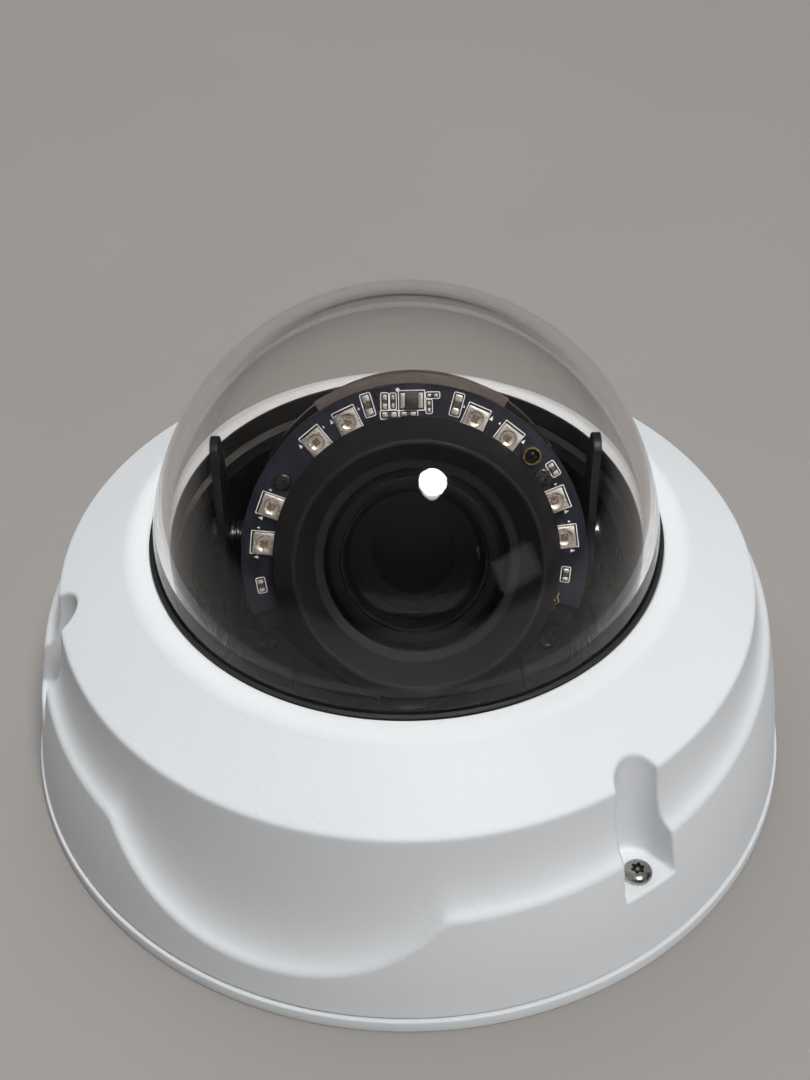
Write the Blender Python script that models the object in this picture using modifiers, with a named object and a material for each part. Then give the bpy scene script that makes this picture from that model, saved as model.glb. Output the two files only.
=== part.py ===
"""Vandal-resistant fixed-dome network camera, about 160 mm across and 105 mm high.

Upright frame: base on z = 0, dome on top, the lens looks toward -Y and up.
All driving dimensions are in millimetres and are scaled to metres by MM.
"""
import math

import bmesh
import bpy
from mathutils import Matrix, Vector

MM = 0.001
GAP = 0.3

# ---- overall layout -------------------------------------------------------
FRONT_AZ = -22.0          # product front, degrees from -Y toward +X
SCREW_AZ = (FRONT_AZ + 58.0, FRONT_AZ - 58.0, FRONT_AZ + 180.0)
SHELL_STEPS = 60          # facets of the cover
STEPS = 36                # facets of other large round parts
GIMBAL_STEPS = 28         # facets of gimbal and lens rings
SMALL_STEPS = 12          # facets of screws and pins

# ---- base -----------------------------------------------------------------
BASE_R = 80.0
BASE_T = 2.8
LAND_R_IN = 70.5
LAND_R_OUT = 75.3
LAND_Z = 6.0
SEAL_R_IN = 77.2
SEAL_R_OUT = 78.4
GROMMET_HOLE_R = 11.0
FIX_HOLE_R = 2.25
FIX_HOLE_BCR = 66.8
FIX_HOLE_AZ = (FRONT_AZ, FRONT_AZ + 118.0, FRONT_AZ - 118.0)

# ---- cover ----------------------------------------------------------------
COVER_Z0 = 3.4
OPENING_R = 51.0
LIP_Z = 55.35
LIP_R = 55.3
CREASE_R = 70.5
CREASE_Z = 44.8
WALL_PROFILE = (
    (3.4, 79.3), (6.0, 79.0), (10.0, 78.55), (14.0, 78.05), (18.0, 77.5), (22.0, 76.9),
    (26.0, 76.2), (31.0, 75.2), (35.0, 74.3), (40.0, 72.95), (44.8, 70.9),
)
LEDGE_MEAN = 33.6         # height of the side ledge, lower at the front
LEDGE_TILT = 6.15
DIP_Z = 12.0              # bottom of the front dip in the ledge
SEAT_R = 56.6
SEAT_Z = 52.2
RECESS_U = 71.5           # radial centre of the round back of a screw recess
RECESS_R = 5.0
RECESS_FLOOR = 20.3
RECESS_FLARE = 12.0
PILLAR_WALL = 2.5
PILLAR_Z0 = 6.3
COVER_SCREW_R = 73.0

# ---- dome -----------------------------------------------------------------
DOME_R = 50.4
DOME_T = 3.0
DOME_CZ = 54.3
FLANGE_R = 56.2
FLANGE_Z0 = 47.9
FLANGE_Z1 = 50.6
CLAMP_BCR = 58.9
CLAMP_AZ = (FRONT_AZ, FRONT_AZ + 120.0, FRONT_AZ - 120.0)

# ---- main board -----------------------------------------------------------
BOARD_R_IN = 46.0
BOARD_R_OUT = 62.8
BOARD_Z0 = 6.8
BOARD_T = 1.6
BOARD_SCREW_R = 54.5
BOARD_SCREW_AZ = (-55.0, 65.0, -175.0)

# ---- gimbal ---------------------------------------------------------------
PAN_BASE_R = 40.0
PAN_SCREW_R = 31.0
PAN_SCREW_AZ = (10.0, 130.0, -110.0)
PLATFORM_R = 41.5
PLATFORM_Z0 = 13.3
PLATFORM_Z1 = 16.3
EAR_X_IN = 35.4
EAR_T = 1.5
EAR_TOP_Z = 78.7
EAR_CROWN_R = 3.0
TILT_Z = DOME_CZ
MODULE_X = 1.4            # the camera module sits this far off the pan axis
LENS_ELEVATION = 32.0
LENS_ROLL = 0.6           # the camera module is left turned this far in its cradle
CRADLE_R = 33.4
CARRIER_R = 30.2
POST_R = 25.8
POST_ANGLES = (31.5, 90.0, 148.5)

# ---- lens module, measured along the lens axis from the tilt axis ---------
LED_PLANE = 25.0
LED_RING_R = 27.8
LED_ANGLES = (6.5, 21.0, 51.2, 65.4)
LED_BOARD_IN = 25.8
LED_BOARD_OUT = 31.9
LED_BOARD_T = 1.2
LED_BOARD_END = -19.0
HOLDER_OUT = 31.4
HOLDER_TAB_R = 33.6
HOLDER_TAB_HALF = 31.0
SHROUD_RIM_R = 22.8
SHROUD_RIM_Z = 35.0
BEZEL_R = 16.4
BEZEL_Z = 29.3
GLASS_R = 13.0

MATERIALS = {
    "white_shell": ((0.83, 0.84, 0.85), 0.0, 0.42),
    "white_base": ((0.80, 0.81, 0.82), 0.0, 0.45),
    "black_rubber": ((0.012, 0.012, 0.013), 0.0, 0.75),
    "clear_dome": ((0.72, 0.70, 0.68), 0.0, 0.03),
    "black_plastic": ((0.018, 0.018, 0.020), 0.0, 0.45),
    "frame_plastic": ((0.030, 0.030, 0.033), 0.0, 0.38),
    "screw_steel": ((0.50, 0.50, 0.52), 1.0, 0.28),
    "dark_steel": ((0.06, 0.06, 0.065), 1.0, 0.35),
    "board_green": ((0.02, 0.12, 0.06), 0.0, 0.40),
    "board_black": ((0.012, 0.014, 0.030), 0.0, 0.35),
    "led_white": ((0.78, 0.79, 0.76), 0.0, 0.30),
    "lens_black": ((0.010, 0.010, 0.012), 0.0, 0.25),
    "lens_glass": ((0.05, 0.04, 0.08), 0.0, 0.02),
    "chip_black": ((0.02, 0.02, 0.022), 0.0, 0.50),
    "socket_metal": ((0.55, 0.55, 0.56), 1.0, 0.30),
    "sensor_brass": ((0.45, 0.33, 0.12), 1.0, 0.35),
    "button_red": ((0.45, 0.03, 0.02), 0.0, 0.45),
}


# ---------------------------------------------------------------------------
# scene helpers
# ---------------------------------------------------------------------------
def clear_scene():
    for obj in list(bpy.data.objects):
        bpy.data.objects.remove(obj, do_unlink=True)
    for mesh in list(bpy.data.meshes):
        bpy.data.meshes.remove(mesh)
    for curve in list(bpy.data.curves):
        bpy.data.curves.remove(curve)


def make_collection(name):
    coll = bpy.data.collections.new(name)
    bpy.context.scene.collection.children.link(coll)
    return coll


def material(name):
    found = bpy.data.materials.get(name)
    if found:
        return found
    color, metallic, rough = MATERIALS[name]
    mat = bpy.data.materials.new(name)
    mat.use_nodes = True
    bsdf = mat.node_tree.nodes["Principled BSDF"]
    bsdf.inputs["Base Color"].default_value = (*color, 1.0)
    bsdf.inputs["Metallic"].default_value = metallic
    bsdf.inputs["Roughness"].default_value = rough
    if name == "clear_dome":
        bsdf.inputs["Transmission Weight"].default_value = 1.0
    mat.diffuse_color = (*color, 1.0)
    return mat


clear_scene()
PARTS = make_collection("dome_camera")
CUTTERS = make_collection("cutters")

MODULE_FRAME = (
    Matrix.Translation(Vector((MODULE_X, 0.0, TILT_Z)) * MM)
    @ Matrix.Rotation(math.radians(90.0 - LENS_ELEVATION), 4, "X")
)
CAMERA_FRAME = MODULE_FRAME @ Matrix.Rotation(math.radians(LENS_ROLL), 4, "Z")


def finish(obj, mat_name, frame=None, smooth=35.0):
    """Give a part its material, place and shading."""
    if mat_name:
        obj.data.materials.clear()
        obj.data.materials.append(material(mat_name))
    if frame is not None:
        obj.matrix_world = frame
    if smooth:
        obj.data.shade_smooth()
        obj.data.set_sharp_from_angle(angle=math.radians(smooth))
    return obj


def link(name, mesh, coll=None):
    obj = bpy.data.objects.new(name, mesh)
    (coll or PARTS).objects.link(obj)
    return obj


def as_cutter(obj):
    obj.hide_render = True
    obj.display_type = "WIRE"
    return obj


def mesh_from(name, bm):
    bmesh.ops.recalc_face_normals(bm, faces=bm.faces[:])
    mesh = bpy.data.meshes.new(name)
    bm.to_mesh(mesh)
    bm.free()
    return mesh


def boolean(obj, tool, operation="DIFFERENCE"):
    mod = obj.modifiers.new(operation.title() + "_" + tool.name, "BOOLEAN")
    mod.operation = operation
    mod.solver = "EXACT"
    mod.object = tool
    return mod


def revolve(name, profile, mat_name, steps=STEPS, frame=None, coll=None, smooth=35.0):
    """Spin a profile of (radius, height) pairs; the outer side runs from top to bottom."""
    on_axis = profile[0][0] == 0.0 and profile[-1][0] == 0.0
    verts = [(r * MM, 0.0, z * MM) for r, z in profile]
    edges = [(i, i + 1) for i in range(len(verts) - 1)]
    if not on_axis:
        edges.append((len(verts) - 1, 0))
    mesh = bpy.data.meshes.new(name)
    mesh.from_pydata(verts, edges, [])
    obj = link(name, mesh, coll)
    screw = obj.modifiers.new("Screw", "SCREW")
    screw.axis = "Z"
    screw.angle = math.tau
    screw.steps = steps
    screw.render_steps = steps
    screw.use_merge_vertices = True
    screw.merge_threshold = 0.00001
    screw.use_smooth_shade = True
    return finish(obj, mat_name, frame, 0.0 if not smooth else smooth)


def box(name, size, center, mat_name, frame=None, coll=None, bevel=0.0):
    bm = bmesh.new()
    bmesh.ops.create_cube(bm, size=1.0)
    bmesh.ops.scale(bm, verts=bm.verts[:], vec=Vector(size) * MM)
    bmesh.ops.translate(bm, verts=bm.verts[:], vec=Vector(center) * MM)
    obj = link(name, mesh_from(name, bm), coll)
    if bevel:
        mod = obj.modifiers.new("Bevel", "BEVEL")
        mod.width = bevel * MM
        mod.segments = 1
        mod.limit_method = "ANGLE"
    return finish(obj, mat_name, frame, 0.0)


def rod(name, radius, z0, z1, mat_name, frame=None, coll=None, steps=SMALL_STEPS):
    """A plain cylinder along local Z."""
    bm = bmesh.new()
    bmesh.ops.create_cone(
        bm, cap_ends=True, segments=steps, radius1=radius * MM, radius2=radius * MM,
        depth=(z1 - z0) * MM,
    )
    bmesh.ops.translate(bm, verts=bm.verts[:], vec=Vector((0.0, 0.0, (z0 + z1) / 2.0)) * MM)
    return finish(link(name, mesh_from(name, bm), coll), mat_name, frame)


def plate(name, outline, z0, z1, mat_name, frame=None, coll=None, smooth=35.0):
    """A flat outline of (x, y) pairs, extruded between two heights and made a mesh."""
    curve = bpy.data.curves.new(name, "CURVE")
    curve.dimensions = "2D"
    curve.fill_mode = "BOTH"
    curve.extrude = (z1 - z0) / 2.0 * MM
    spline = curve.splines.new("POLY")
    spline.points.add(len(outline) - 1)
    for point, (x, y) in zip(spline.points, outline):
        point.co = (x * MM, y * MM, 0.0, 1.0)
    spline.use_cyclic_u = True
    drawn = bpy.data.objects.new(name + "_curve", curve)
    PARTS.objects.link(drawn)
    graph = bpy.context.evaluated_depsgraph_get()
    mesh = bpy.data.meshes.new_from_object(drawn.evaluated_get(graph))
    bpy.data.objects.remove(drawn, do_unlink=True)
    bpy.data.curves.remove(curve)
    bm = bmesh.new()
    bm.from_mesh(mesh)
    bpy.data.meshes.remove(mesh)
    bmesh.ops.remove_doubles(bm, verts=bm.verts[:], dist=0.00001)
    bmesh.ops.translate(bm, verts=bm.verts[:], vec=Vector((0.0, 0.0, (z0 + z1) / 2.0)) * MM)
    return finish(link(name, mesh_from(name, bm), coll), mat_name, frame, smooth)


def polar_frame(radius, azimuth, z=0.0):
    """Local +X points radially outward at an azimuth measured from -Y toward +X."""
    turn = math.radians(azimuth - 90.0)
    place = Vector((radius * math.cos(turn), radius * math.sin(turn), z)) * MM
    return Matrix.Translation(place) @ Matrix.Rotation(turn, 4, "Z")


def arc(radius, start, end, count, cx=0.0, cy=0.0):
    points = []
    for i in range(count + 1):
        angle = math.radians(start + (end - start) * i / count)
        points.append((cx + radius * math.cos(angle), cy + radius * math.sin(angle)))
    return points


# ---------------------------------------------------------------------------
# cover surface
# ---------------------------------------------------------------------------
def wall_radius(z):
    """Outside radius of the curved side wall at a height."""
    for (z0, r0), (z1, r1) in zip(WALL_PROFILE, WALL_PROFILE[1:]):
        if z <= z1:
            return r0 + (r1 - r0) * max(z - z0, 0.0) / (z1 - z0)
    return WALL_PROFILE[-1][1]


def ledge_height(azimuth):
    """Height of the ledge between side wall and scoop, with the dip at the front."""
    off = (azimuth - FRONT_AZ + 180.0) % 360.0 - 180.0
    plain = LEDGE_MEAN - LEDGE_TILT * math.cos(math.radians(off))
    dip = DIP_Z + 0.0145 * off ** 2 + 1.1e-5 * off ** 4
    soft = 0.6
    low = min(plain, dip)
    return low - soft * math.log(math.exp((low - plain) / soft) + math.exp((low - dip) / soft))


def scoop_points(ledge, count):
    """Concave run from the upper crease down and out to the ledge edge."""
    end_r = wall_radius(ledge)
    drop = CREASE_Z - ledge
    reach = end_r - CREASE_R
    p1 = (CREASE_R + 0.06 * drop, CREASE_Z - 0.66 * drop)
    p2 = (end_r - 0.62 * reach, ledge + min(0.24 * reach, 0.25 * drop))
    points = []
    for i in range(1, count + 1):
        t = i / count
        a, b, c, d = (1 - t) ** 3, 3 * t * (1 - t) ** 2, 3 * t * t * (1 - t), t ** 3
        points.append((
            a * CREASE_R + b * p1[0] + c * p2[0] + d * end_r,
            a * CREASE_Z + b * p1[1] + c * p2[1] + d * ledge,
        ))
    return points


def cover_outer(azimuth):
    ledge = ledge_height(azimuth)
    points = [(OPENING_R - 0.6, LIP_Z), (LIP_R - 0.5, LIP_Z), (LIP_R + 0.3, LIP_Z - 0.3)]
    points += [(60.4, 52.05), (65.4, 48.75), (CREASE_R - 0.4, CREASE_Z + 0.42)]
    points.append((CREASE_R, CREASE_Z))
    points += scoop_points(ledge, 5)
    for part in (0.5, 1.0):
        z = ledge + (COVER_Z0 - ledge) * part
        points.append((wall_radius(z), z))
    return points


def cover_inner(azimuth):
    ledge = ledge_height(azimuth)
    edge = wall_radius(ledge) - 3.0
    return [
        (OPENING_R, LIP_Z + 1.5), (OPENING_R, SEAT_Z), (SEAT_R, SEAT_Z), (SEAT_R, 51.0),
        (66.6, 44.2), (68.2, 42.6), (min(69.6, edge), ledge + 0.8), (edge, ledge - 3.4),
        (76.6, min(COVER_Z0 + 1.5, ledge - 4.0)), (76.6, COVER_Z0 - 1.5),
    ]


def loft(name, section, steps, coll, mat_name=None, smooth=0.0):
    """Solid made from one open profile per azimuth, capped at both ends."""
    bm = bmesh.new()
    rings = None
    columns = []
    for i in range(steps):
        azimuth = 360.0 * i / steps
        frame = polar_frame(0.0, azimuth)
        columns.append([
            bm.verts.new(frame @ (Vector((r, 0.0, z)) * MM)) for r, z in section(azimuth)
        ])
    rings = len(columns[0])
    for i in range(steps):
        here = columns[i]
        there = columns[(i + 1) % steps]
        for k in range(rings - 1):
            bm.faces.new((here[k], here[k + 1], there[k + 1], there[k]))
    bm.faces.new([column[0] for column in columns])
    bm.faces.new([column[-1] for column in columns][::-1])
    return finish(link(name, mesh_from(name, bm), coll), mat_name, None, smooth)


def recess_outline(grow, reach):
    """Half-round back with sides that flare outward; local +X is radial."""
    radius = RECESS_R + grow
    flare = math.tan(math.radians(RECESS_FLARE)) * (reach - RECESS_U)
    outline = arc(radius, 90.0, 270.0, 10, RECESS_U, 0.0)
    outline.append((reach, -radius - flare))
    outline.append((reach, radius + flare))
    return outline


def build_cover():
    cover = loft("top_cover", cover_outer, SHELL_STEPS, PARTS, "white_shell", 30.0)
    cavity = as_cutter(loft("cut_cover_cavity", cover_inner, SHELL_STEPS, CUTTERS))
    for i, azimuth in enumerate(SCREW_AZ):
        frame = polar_frame(0.0, azimuth)
        pillar = plate(
            f"cut_pillar_{i + 1}", recess_outline(PILLAR_WALL, 84.0), PILLAR_Z0, 60.0,
            None, frame, CUTTERS, 0.0,
        )
        boolean(cavity, as_cutter(pillar))
    for i, azimuth in enumerate(CLAMP_AZ):
        boss = rod(
            f"cut_boss_{i + 1}", 2.2, FLANGE_Z0, 51.5, None,
            polar_frame(CLAMP_BCR, azimuth), CUTTERS,
        )
        boolean(cavity, as_cutter(boss))
    boolean(cover, cavity)
    for i, azimuth in enumerate(SCREW_AZ):
        channel = plate(
            f"cut_channel_{i + 1}", recess_outline(0.0, 86.0), RECESS_FLOOR, 62.0,
            None, polar_frame(0.0, azimuth), CUTTERS, 0.0,
        )
        boolean(cover, as_cutter(channel))
        hole = rod(
            f"cut_cover_hole_{i + 1}", 1.8, COVER_Z0 - 1.0, RECESS_FLOOR + 1.0, None,
            polar_frame(COVER_SCREW_R, azimuth), CUTTERS,
        )
        boolean(cover, as_cutter(hole))
    for i, azimuth in enumerate(CLAMP_AZ):
        hole = rod(
            f"cut_boss_hole_{i + 1}", 1.2, 46.0, 51.2, None,
            polar_frame(CLAMP_BCR, azimuth), CUTTERS, 12,
        )
        boolean(cover, as_cutter(hole))
    return cover


# ---------------------------------------------------------------------------
# fasteners
# ---------------------------------------------------------------------------
def screw(name, head_r, head_h, shank_r, length, frame, mat_name, button=False):
    """Screw with its head seat at local z = 0 and the shank pointing down."""
    if button:
        top = [(0.0, head_h * 0.45), (1.15, head_h * 0.45), (1.15, head_h)]
        top += [(head_r * 0.75, head_h * 0.85), (head_r, head_h * 0.2)]
    else:
        top = [(0.0, head_h), (head_r, head_h)]
    profile = top + [(head_r, 0.0), (shank_r, 0.0), (shank_r, -length), (0.0, -length)]
    return revolve(name, profile, mat_name, SMALL_STEPS, frame)


def build_screws():
    for i, azimuth in enumerate(SCREW_AZ):
        screw(
            f"cover_screw_{i + 1}", 2.85, 1.7, 1.5, 19.2,
            polar_frame(COVER_SCREW_R, azimuth, RECESS_FLOOR + GAP), "screw_steel", True,
        )
    upside = Matrix.Rotation(math.pi, 4, "X")
    for i, azimuth in enumerate(CLAMP_AZ):
        screw(
            f"clamp_screw_{i + 1}", 1.8, 1.2, 0.9, 5.2,
            polar_frame(CLAMP_BCR, azimuth, 45.3) @ upside, "dark_steel",
        )
    for i, azimuth in enumerate(BOARD_SCREW_AZ):
        screw(
            f"board_screw_{i + 1}", 2.2, 1.3, 1.0, 6.0,
            polar_frame(BOARD_SCREW_R, azimuth, BOARD_Z0 + BOARD_T + GAP), "screw_steel",
        )
    for i, azimuth in enumerate(PAN_SCREW_AZ):
        screw(
            f"pan_base_screw_{i + 1}", 2.4, 1.4, 1.2, 4.2,
            polar_frame(PAN_SCREW_R, azimuth, 5.1 + GAP), "screw_steel",
        )


# ---------------------------------------------------------------------------
# fixed parts
# ---------------------------------------------------------------------------
def build_base():
    profile = [
        (LAND_R_OUT, LAND_Z), (LAND_R_OUT, BASE_T),
        (SEAL_R_IN - GAP, BASE_T), (SEAL_R_IN - GAP, 1.6), (SEAL_R_OUT + GAP, 1.6),
        (SEAL_R_OUT + GAP, BASE_T), (BASE_R - 0.5, BASE_T), (BASE_R, BASE_T - 0.5),
        (BASE_R, 0.4), (BASE_R - 0.4, 0.0), (GROMMET_HOLE_R, 0.0),
        (GROMMET_HOLE_R, BASE_T), (LAND_R_IN, BASE_T), (LAND_R_IN, LAND_Z),
    ]
    base = revolve("mounting_base", profile, "white_base", 96)
    for i, azimuth in enumerate(BOARD_SCREW_AZ):
        frame = polar_frame(BOARD_SCREW_R, azimuth)
        post = rod(f"cut_base_post_{i + 1}", 3.0, 1.5, BOARD_Z0 - GAP, None, frame, CUTTERS)
        boolean(base, as_cutter(post), "UNION")
        hole = rod(f"cut_post_hole_{i + 1}", 1.3, 1.2, 9.0, None, frame, CUTTERS, 12)
        boolean(base, as_cutter(hole))
    for i, azimuth in enumerate(SCREW_AZ):
        frame = polar_frame(COVER_SCREW_R, azimuth)
        hole = rod(f"cut_base_screw_{i + 1}", 1.8, 1.0, 9.0, None, frame, CUTTERS)
        boolean(base, as_cutter(hole))
    for i, azimuth in enumerate(PAN_SCREW_AZ):
        frame = polar_frame(PAN_SCREW_R, azimuth)
        hole = rod(f"cut_base_pan_{i + 1}", 1.5, 0.9, 5.0, None, frame, CUTTERS, 12)
        boolean(base, as_cutter(hole))
    for i, azimuth in enumerate(FIX_HOLE_AZ):
        frame = polar_frame(FIX_HOLE_BCR, azimuth)
        hole = rod(f"cut_fix_hole_{i + 1}", FIX_HOLE_R, -1.0, 5.0, None, frame, CUTTERS)
        boolean(base, as_cutter(hole))


def build_seals_and_dome():
    revolve("base_seal", [
        (SEAL_R_OUT, 3.1), (SEAL_R_OUT, 1.9), (SEAL_R_IN, 1.9), (SEAL_R_IN, 3.1),
    ], "black_rubber", STEPS)
    revolve("dome_gasket", [
        (FLANGE_R, 51.9), (FLANGE_R, 50.9), (DOME_R + GAP, 50.9), (DOME_R + GAP, 51.9),
    ], "black_rubber", STEPS)
    inner_r = DOME_R - DOME_T
    profile = []
    for i in range(10):
        angle = math.radians(10.0 * i)
        profile.append((DOME_R * math.sin(angle), DOME_CZ + DOME_R * math.cos(angle)))
    profile += [(DOME_R, FLANGE_Z1), (FLANGE_R, FLANGE_Z1), (FLANGE_R, FLANGE_Z0)]
    profile.append((inner_r, FLANGE_Z0))
    for i in range(9):
        angle = math.radians(90.0 - 11.25 * i)
        profile.append((inner_r * math.sin(angle), DOME_CZ + inner_r * math.cos(angle)))
    profile[0] = (0.0, DOME_CZ + DOME_R)
    profile[-1] = (0.0, DOME_CZ + inner_r)
    revolve("dome_bubble", profile, "clear_dome", STEPS, smooth=40.0)


def build_clamp_and_liner():
    ring = revolve("dome_clamp_ring", [
        (61.0, 47.6), (61.0, 45.6), (51.5, 45.6), (51.5, 47.6),
    ], "dark_steel", STEPS)
    for i, azimuth in enumerate(CLAMP_AZ):
        hole = rod(
            f"cut_clamp_hole_{i + 1}", 1.2, 44.0, 49.0, None,
            polar_frame(CLAMP_BCR, azimuth), CUTTERS, 12,
        )
        boolean(ring, as_cutter(hole))
    revolve("inner_liner", [
        (47.0, 50.8), (47.0, 49.6), (45.2, 49.6), (45.2, 45.3), (54.5, 45.3), (54.5, 43.9),
        (45.2, 43.9), (45.2, 20.0), (43.7, 20.0), (43.7, 50.8),
    ], "black_plastic", STEPS)


def build_main_board():
    top = BOARD_Z0 + BOARD_T
    board = revolve("main_board", [
        (BOARD_R_OUT, top), (BOARD_R_OUT, BOARD_Z0), (BOARD_R_IN, BOARD_Z0), (BOARD_R_IN, top),
    ], "board_green", STEPS)
    for i, azimuth in enumerate(BOARD_SCREW_AZ):
        hole = rod(
            f"cut_board_hole_{i + 1}", 1.3, 5.0, 10.0, None,
            polar_frame(BOARD_SCREW_R, azimuth), CUTTERS, 12,
        )
        boolean(board, as_cutter(hole))
    seat = top + GAP
    socket_frame = polar_frame(54.4, 100.0, seat)
    socket = box("network_socket", (15.6, 21.0, 13.4), (0, 0, 6.7), "socket_metal", socket_frame)
    mouth = box("cut_socket", (12.0, 16.0, 9.0), (0, 5.0, 6.4), None, socket_frame, CUTTERS)
    boolean(socket, as_cutter(mouth))
    slot_frame = polar_frame(54.4, -100.0, seat)
    slot = box("card_slot", (14.4, 15.0, 2.0), (0, 0, 1.0), "socket_metal", slot_frame)
    mouth = box("cut_slot", (11.4, 13.0, 0.9), (0, 2.0, 1.0), None, slot_frame, CUTTERS)
    boolean(slot, as_cutter(mouth))
    switch_frame = polar_frame(54.4, -135.0, seat)
    switch = box("reset_switch", (6.0, 6.0, 3.4), (0, 0, 1.7), "chip_black", switch_frame)
    well = rod("cut_switch", 2.0, 1.2, 5.0, None, switch_frame, CUTTERS)
    boolean(switch, as_cutter(well))
    rod("reset_button", 1.7, 2.2, 4.6, "button_red", switch_frame)


def build_grommet():
    revolve("cable_grommet", [
        (13.0, 5.0), (13.6, 4.6), (13.6, 3.1), (10.7, 3.1), (10.7, 0.5), (6.0, 0.5),
        (4.0, 2.4), (4.0, 3.6), (6.2, 5.0),
    ], "black_rubber", 24)


# ---------------------------------------------------------------------------
# pan and tilt parts
# ---------------------------------------------------------------------------
def build_pan():
    base = revolve("pan_base", [
        (PAN_BASE_R, 13.0), (PAN_BASE_R, 3.1), (26.0, 3.1), (26.0, 5.1), (36.0, 5.1),
        (36.0, 11.0), (33.0, 11.0), (33.0, 13.0),
    ], "frame_plastic", GIMBAL_STEPS)
    for i, azimuth in enumerate(PAN_SCREW_AZ):
        hole = rod(
            f"cut_pan_hole_{i + 1}", 1.5, 2.0, 6.0, None,
            polar_frame(PAN_SCREW_R, azimuth), CUTTERS, 12,
        )
        boolean(base, as_cutter(hole))
    platform = revolve("pan_platform", [
        (PLATFORM_R, PLATFORM_Z1), (PLATFORM_R, PLATFORM_Z0), (32.6, PLATFORM_Z0), (32.6, 11.0),
        (13.0, 11.0), (13.0, PLATFORM_Z1),
    ], "frame_plastic", GIMBAL_STEPS)
    revolve("pan_retainer_ring", [
        (35.6, 10.7), (35.6, 9.0), (20.0, 9.0), (20.0, 10.7),
    ], "black_plastic", GIMBAL_STEPS)
    for side, label in ((1.0, "right"), (-1.0, "left")):
        hole = rod(
            f"cut_platform_{label}", 1.3, 12.0, 20.0, None,
            Matrix.Translation(Vector((side * 30.5, 3.0, 0)) * MM), CUTTERS, 12,
        )
        boolean(platform, as_cutter(hole))
        build_ear(side, label)


def build_ear(side, label):
    """Upright bracket: a tapered plate with a rounded top and an inward foot."""
    z0 = PLATFORM_Z1 + GAP
    crown = arc(EAR_CROWN_R, 8.0, 172.0, 8, 0.0, EAR_TOP_Z - EAR_CROWN_R)
    outline = [(12.0, z0), (12.0, 30.0), (8.5, 52.0)] + crown
    outline += [(-8.5, 52.0), (-12.0, 30.0), (-12.0, z0)]
    upright = Matrix(((0, 0, 1, 0), (1, 0, 0, 0), (0, 1, 0, 0), (0, 0, 0, 1)))
    inner, outer = sorted((side * EAR_X_IN, side * (EAR_X_IN + EAR_T)))
    ear = plate(f"tilt_bracket_{label}", outline, inner, outer, "frame_plastic", upright)
    foot = box(
        f"cut_foot_{label}", (12.0, 16.0, 2.2), (side * 30.8, 0.0, z0 + 1.1), None, None, CUTTERS,
    )
    boolean(ear, as_cutter(foot), "UNION")
    along_x = Matrix.Translation(Vector((0, 0, TILT_Z)) * MM) @ Matrix.Rotation(math.pi / 2, 4, "Y")
    pivot = rod(f"cut_pivot_{label}", 1.8, side * 37.0 - 4.0, side * 37.0 + 4.0, None, along_x, CUTTERS)
    boolean(ear, as_cutter(pivot))
    drill = rod(
        f"cut_foot_hole_{label}", 1.3, 12.0, 24.0, None,
        Matrix.Translation(Vector((side * 30.5, 3.0, 0)) * MM), CUTTERS, 12,
    )
    boolean(ear, as_cutter(drill))
    screw(
        f"bracket_screw_{label}", 2.2, 1.3, 1.0, 7.0,
        Matrix.Translation(Vector((side * 30.5, 3.0, z0 + 2.2 + GAP)) * MM), "dark_steel",
    )


def build_tilt():
    cradle = revolve("tilt_cradle", [
        (CRADLE_R, 4.0), (CRADLE_R, -4.0), (28.6, -4.0), (28.6, -2.6), (30.5, -2.6), (30.5, 4.0),
    ], "frame_plastic", GIMBAL_STEPS, MODULE_FRAME @ Matrix.Rotation(math.radians(6.4), 4, "Z"))
    across = MODULE_FRAME @ Matrix.Rotation(math.pi / 2, 4, "Y")
    boss = rod("cut_cradle_boss", 3.6, 32.0, 33.7, None, across, CUTTERS)
    boolean(cradle, as_cutter(boss), "UNION")
    for side, label in ((1.0, "right"), (-1.0, "left")):
        z0, z1 = sorted((side * 31.2, side * 36.0))
        hole = rod(f"cut_cradle_{label}", 1.8, z0, z1, None, across, CUTTERS)
        boolean(cradle, as_cutter(hole))
    revolve("roll_retaining_ring", [
        (CRADLE_R, 5.5), (CRADLE_R, 4.3), (28.6, 4.3), (28.6, 5.5),
    ], "black_plastic", GIMBAL_STEPS, MODULE_FRAME)
    head_at = EAR_X_IN + EAR_T + GAP
    right = MODULE_FRAME @ Matrix.Translation(Vector((head_at - MODULE_X, 0, 0)) * MM)
    right = right @ Matrix.Rotation(math.pi / 2, 4, "Y")
    screw("pivot_screw_right", 3.5, 1.8, 1.5, 3.8, right, "dark_steel")
    left = MODULE_FRAME @ Matrix.Translation(Vector((-head_at - MODULE_X, 0, 0)) * MM)
    left = left @ Matrix.Rotation(-math.pi / 2, 4, "Y")
    screw("pivot_screw_left", 3.5, 1.8, 1.5, 6.6, left, "dark_steel")
    spacer = MODULE_FRAME @ Matrix.Translation(Vector((-33.72 - MODULE_X, 0, 0)) * MM)
    spacer = spacer @ Matrix.Rotation(math.pi / 2, 4, "Y")
    revolve("pivot_spacer_left", [
        (3.2, 1.38), (3.2, 0.5), (2.7, 0.3), (2.7, -0.3), (3.2, -0.5), (3.2, -1.38),
        (1.8, -1.38), (1.8, 1.38),
    ], "dark_steel", SMALL_STEPS, spacer)


# ---------------------------------------------------------------------------
# lens module
# ---------------------------------------------------------------------------
def module_point(radius, angle, z):
    turn = math.radians(angle)
    place = Vector((radius * math.cos(turn), radius * math.sin(turn), z)) * MM
    return CAMERA_FRAME @ Matrix.Translation(place) @ Matrix.Rotation(turn, 4, "Z")


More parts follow.
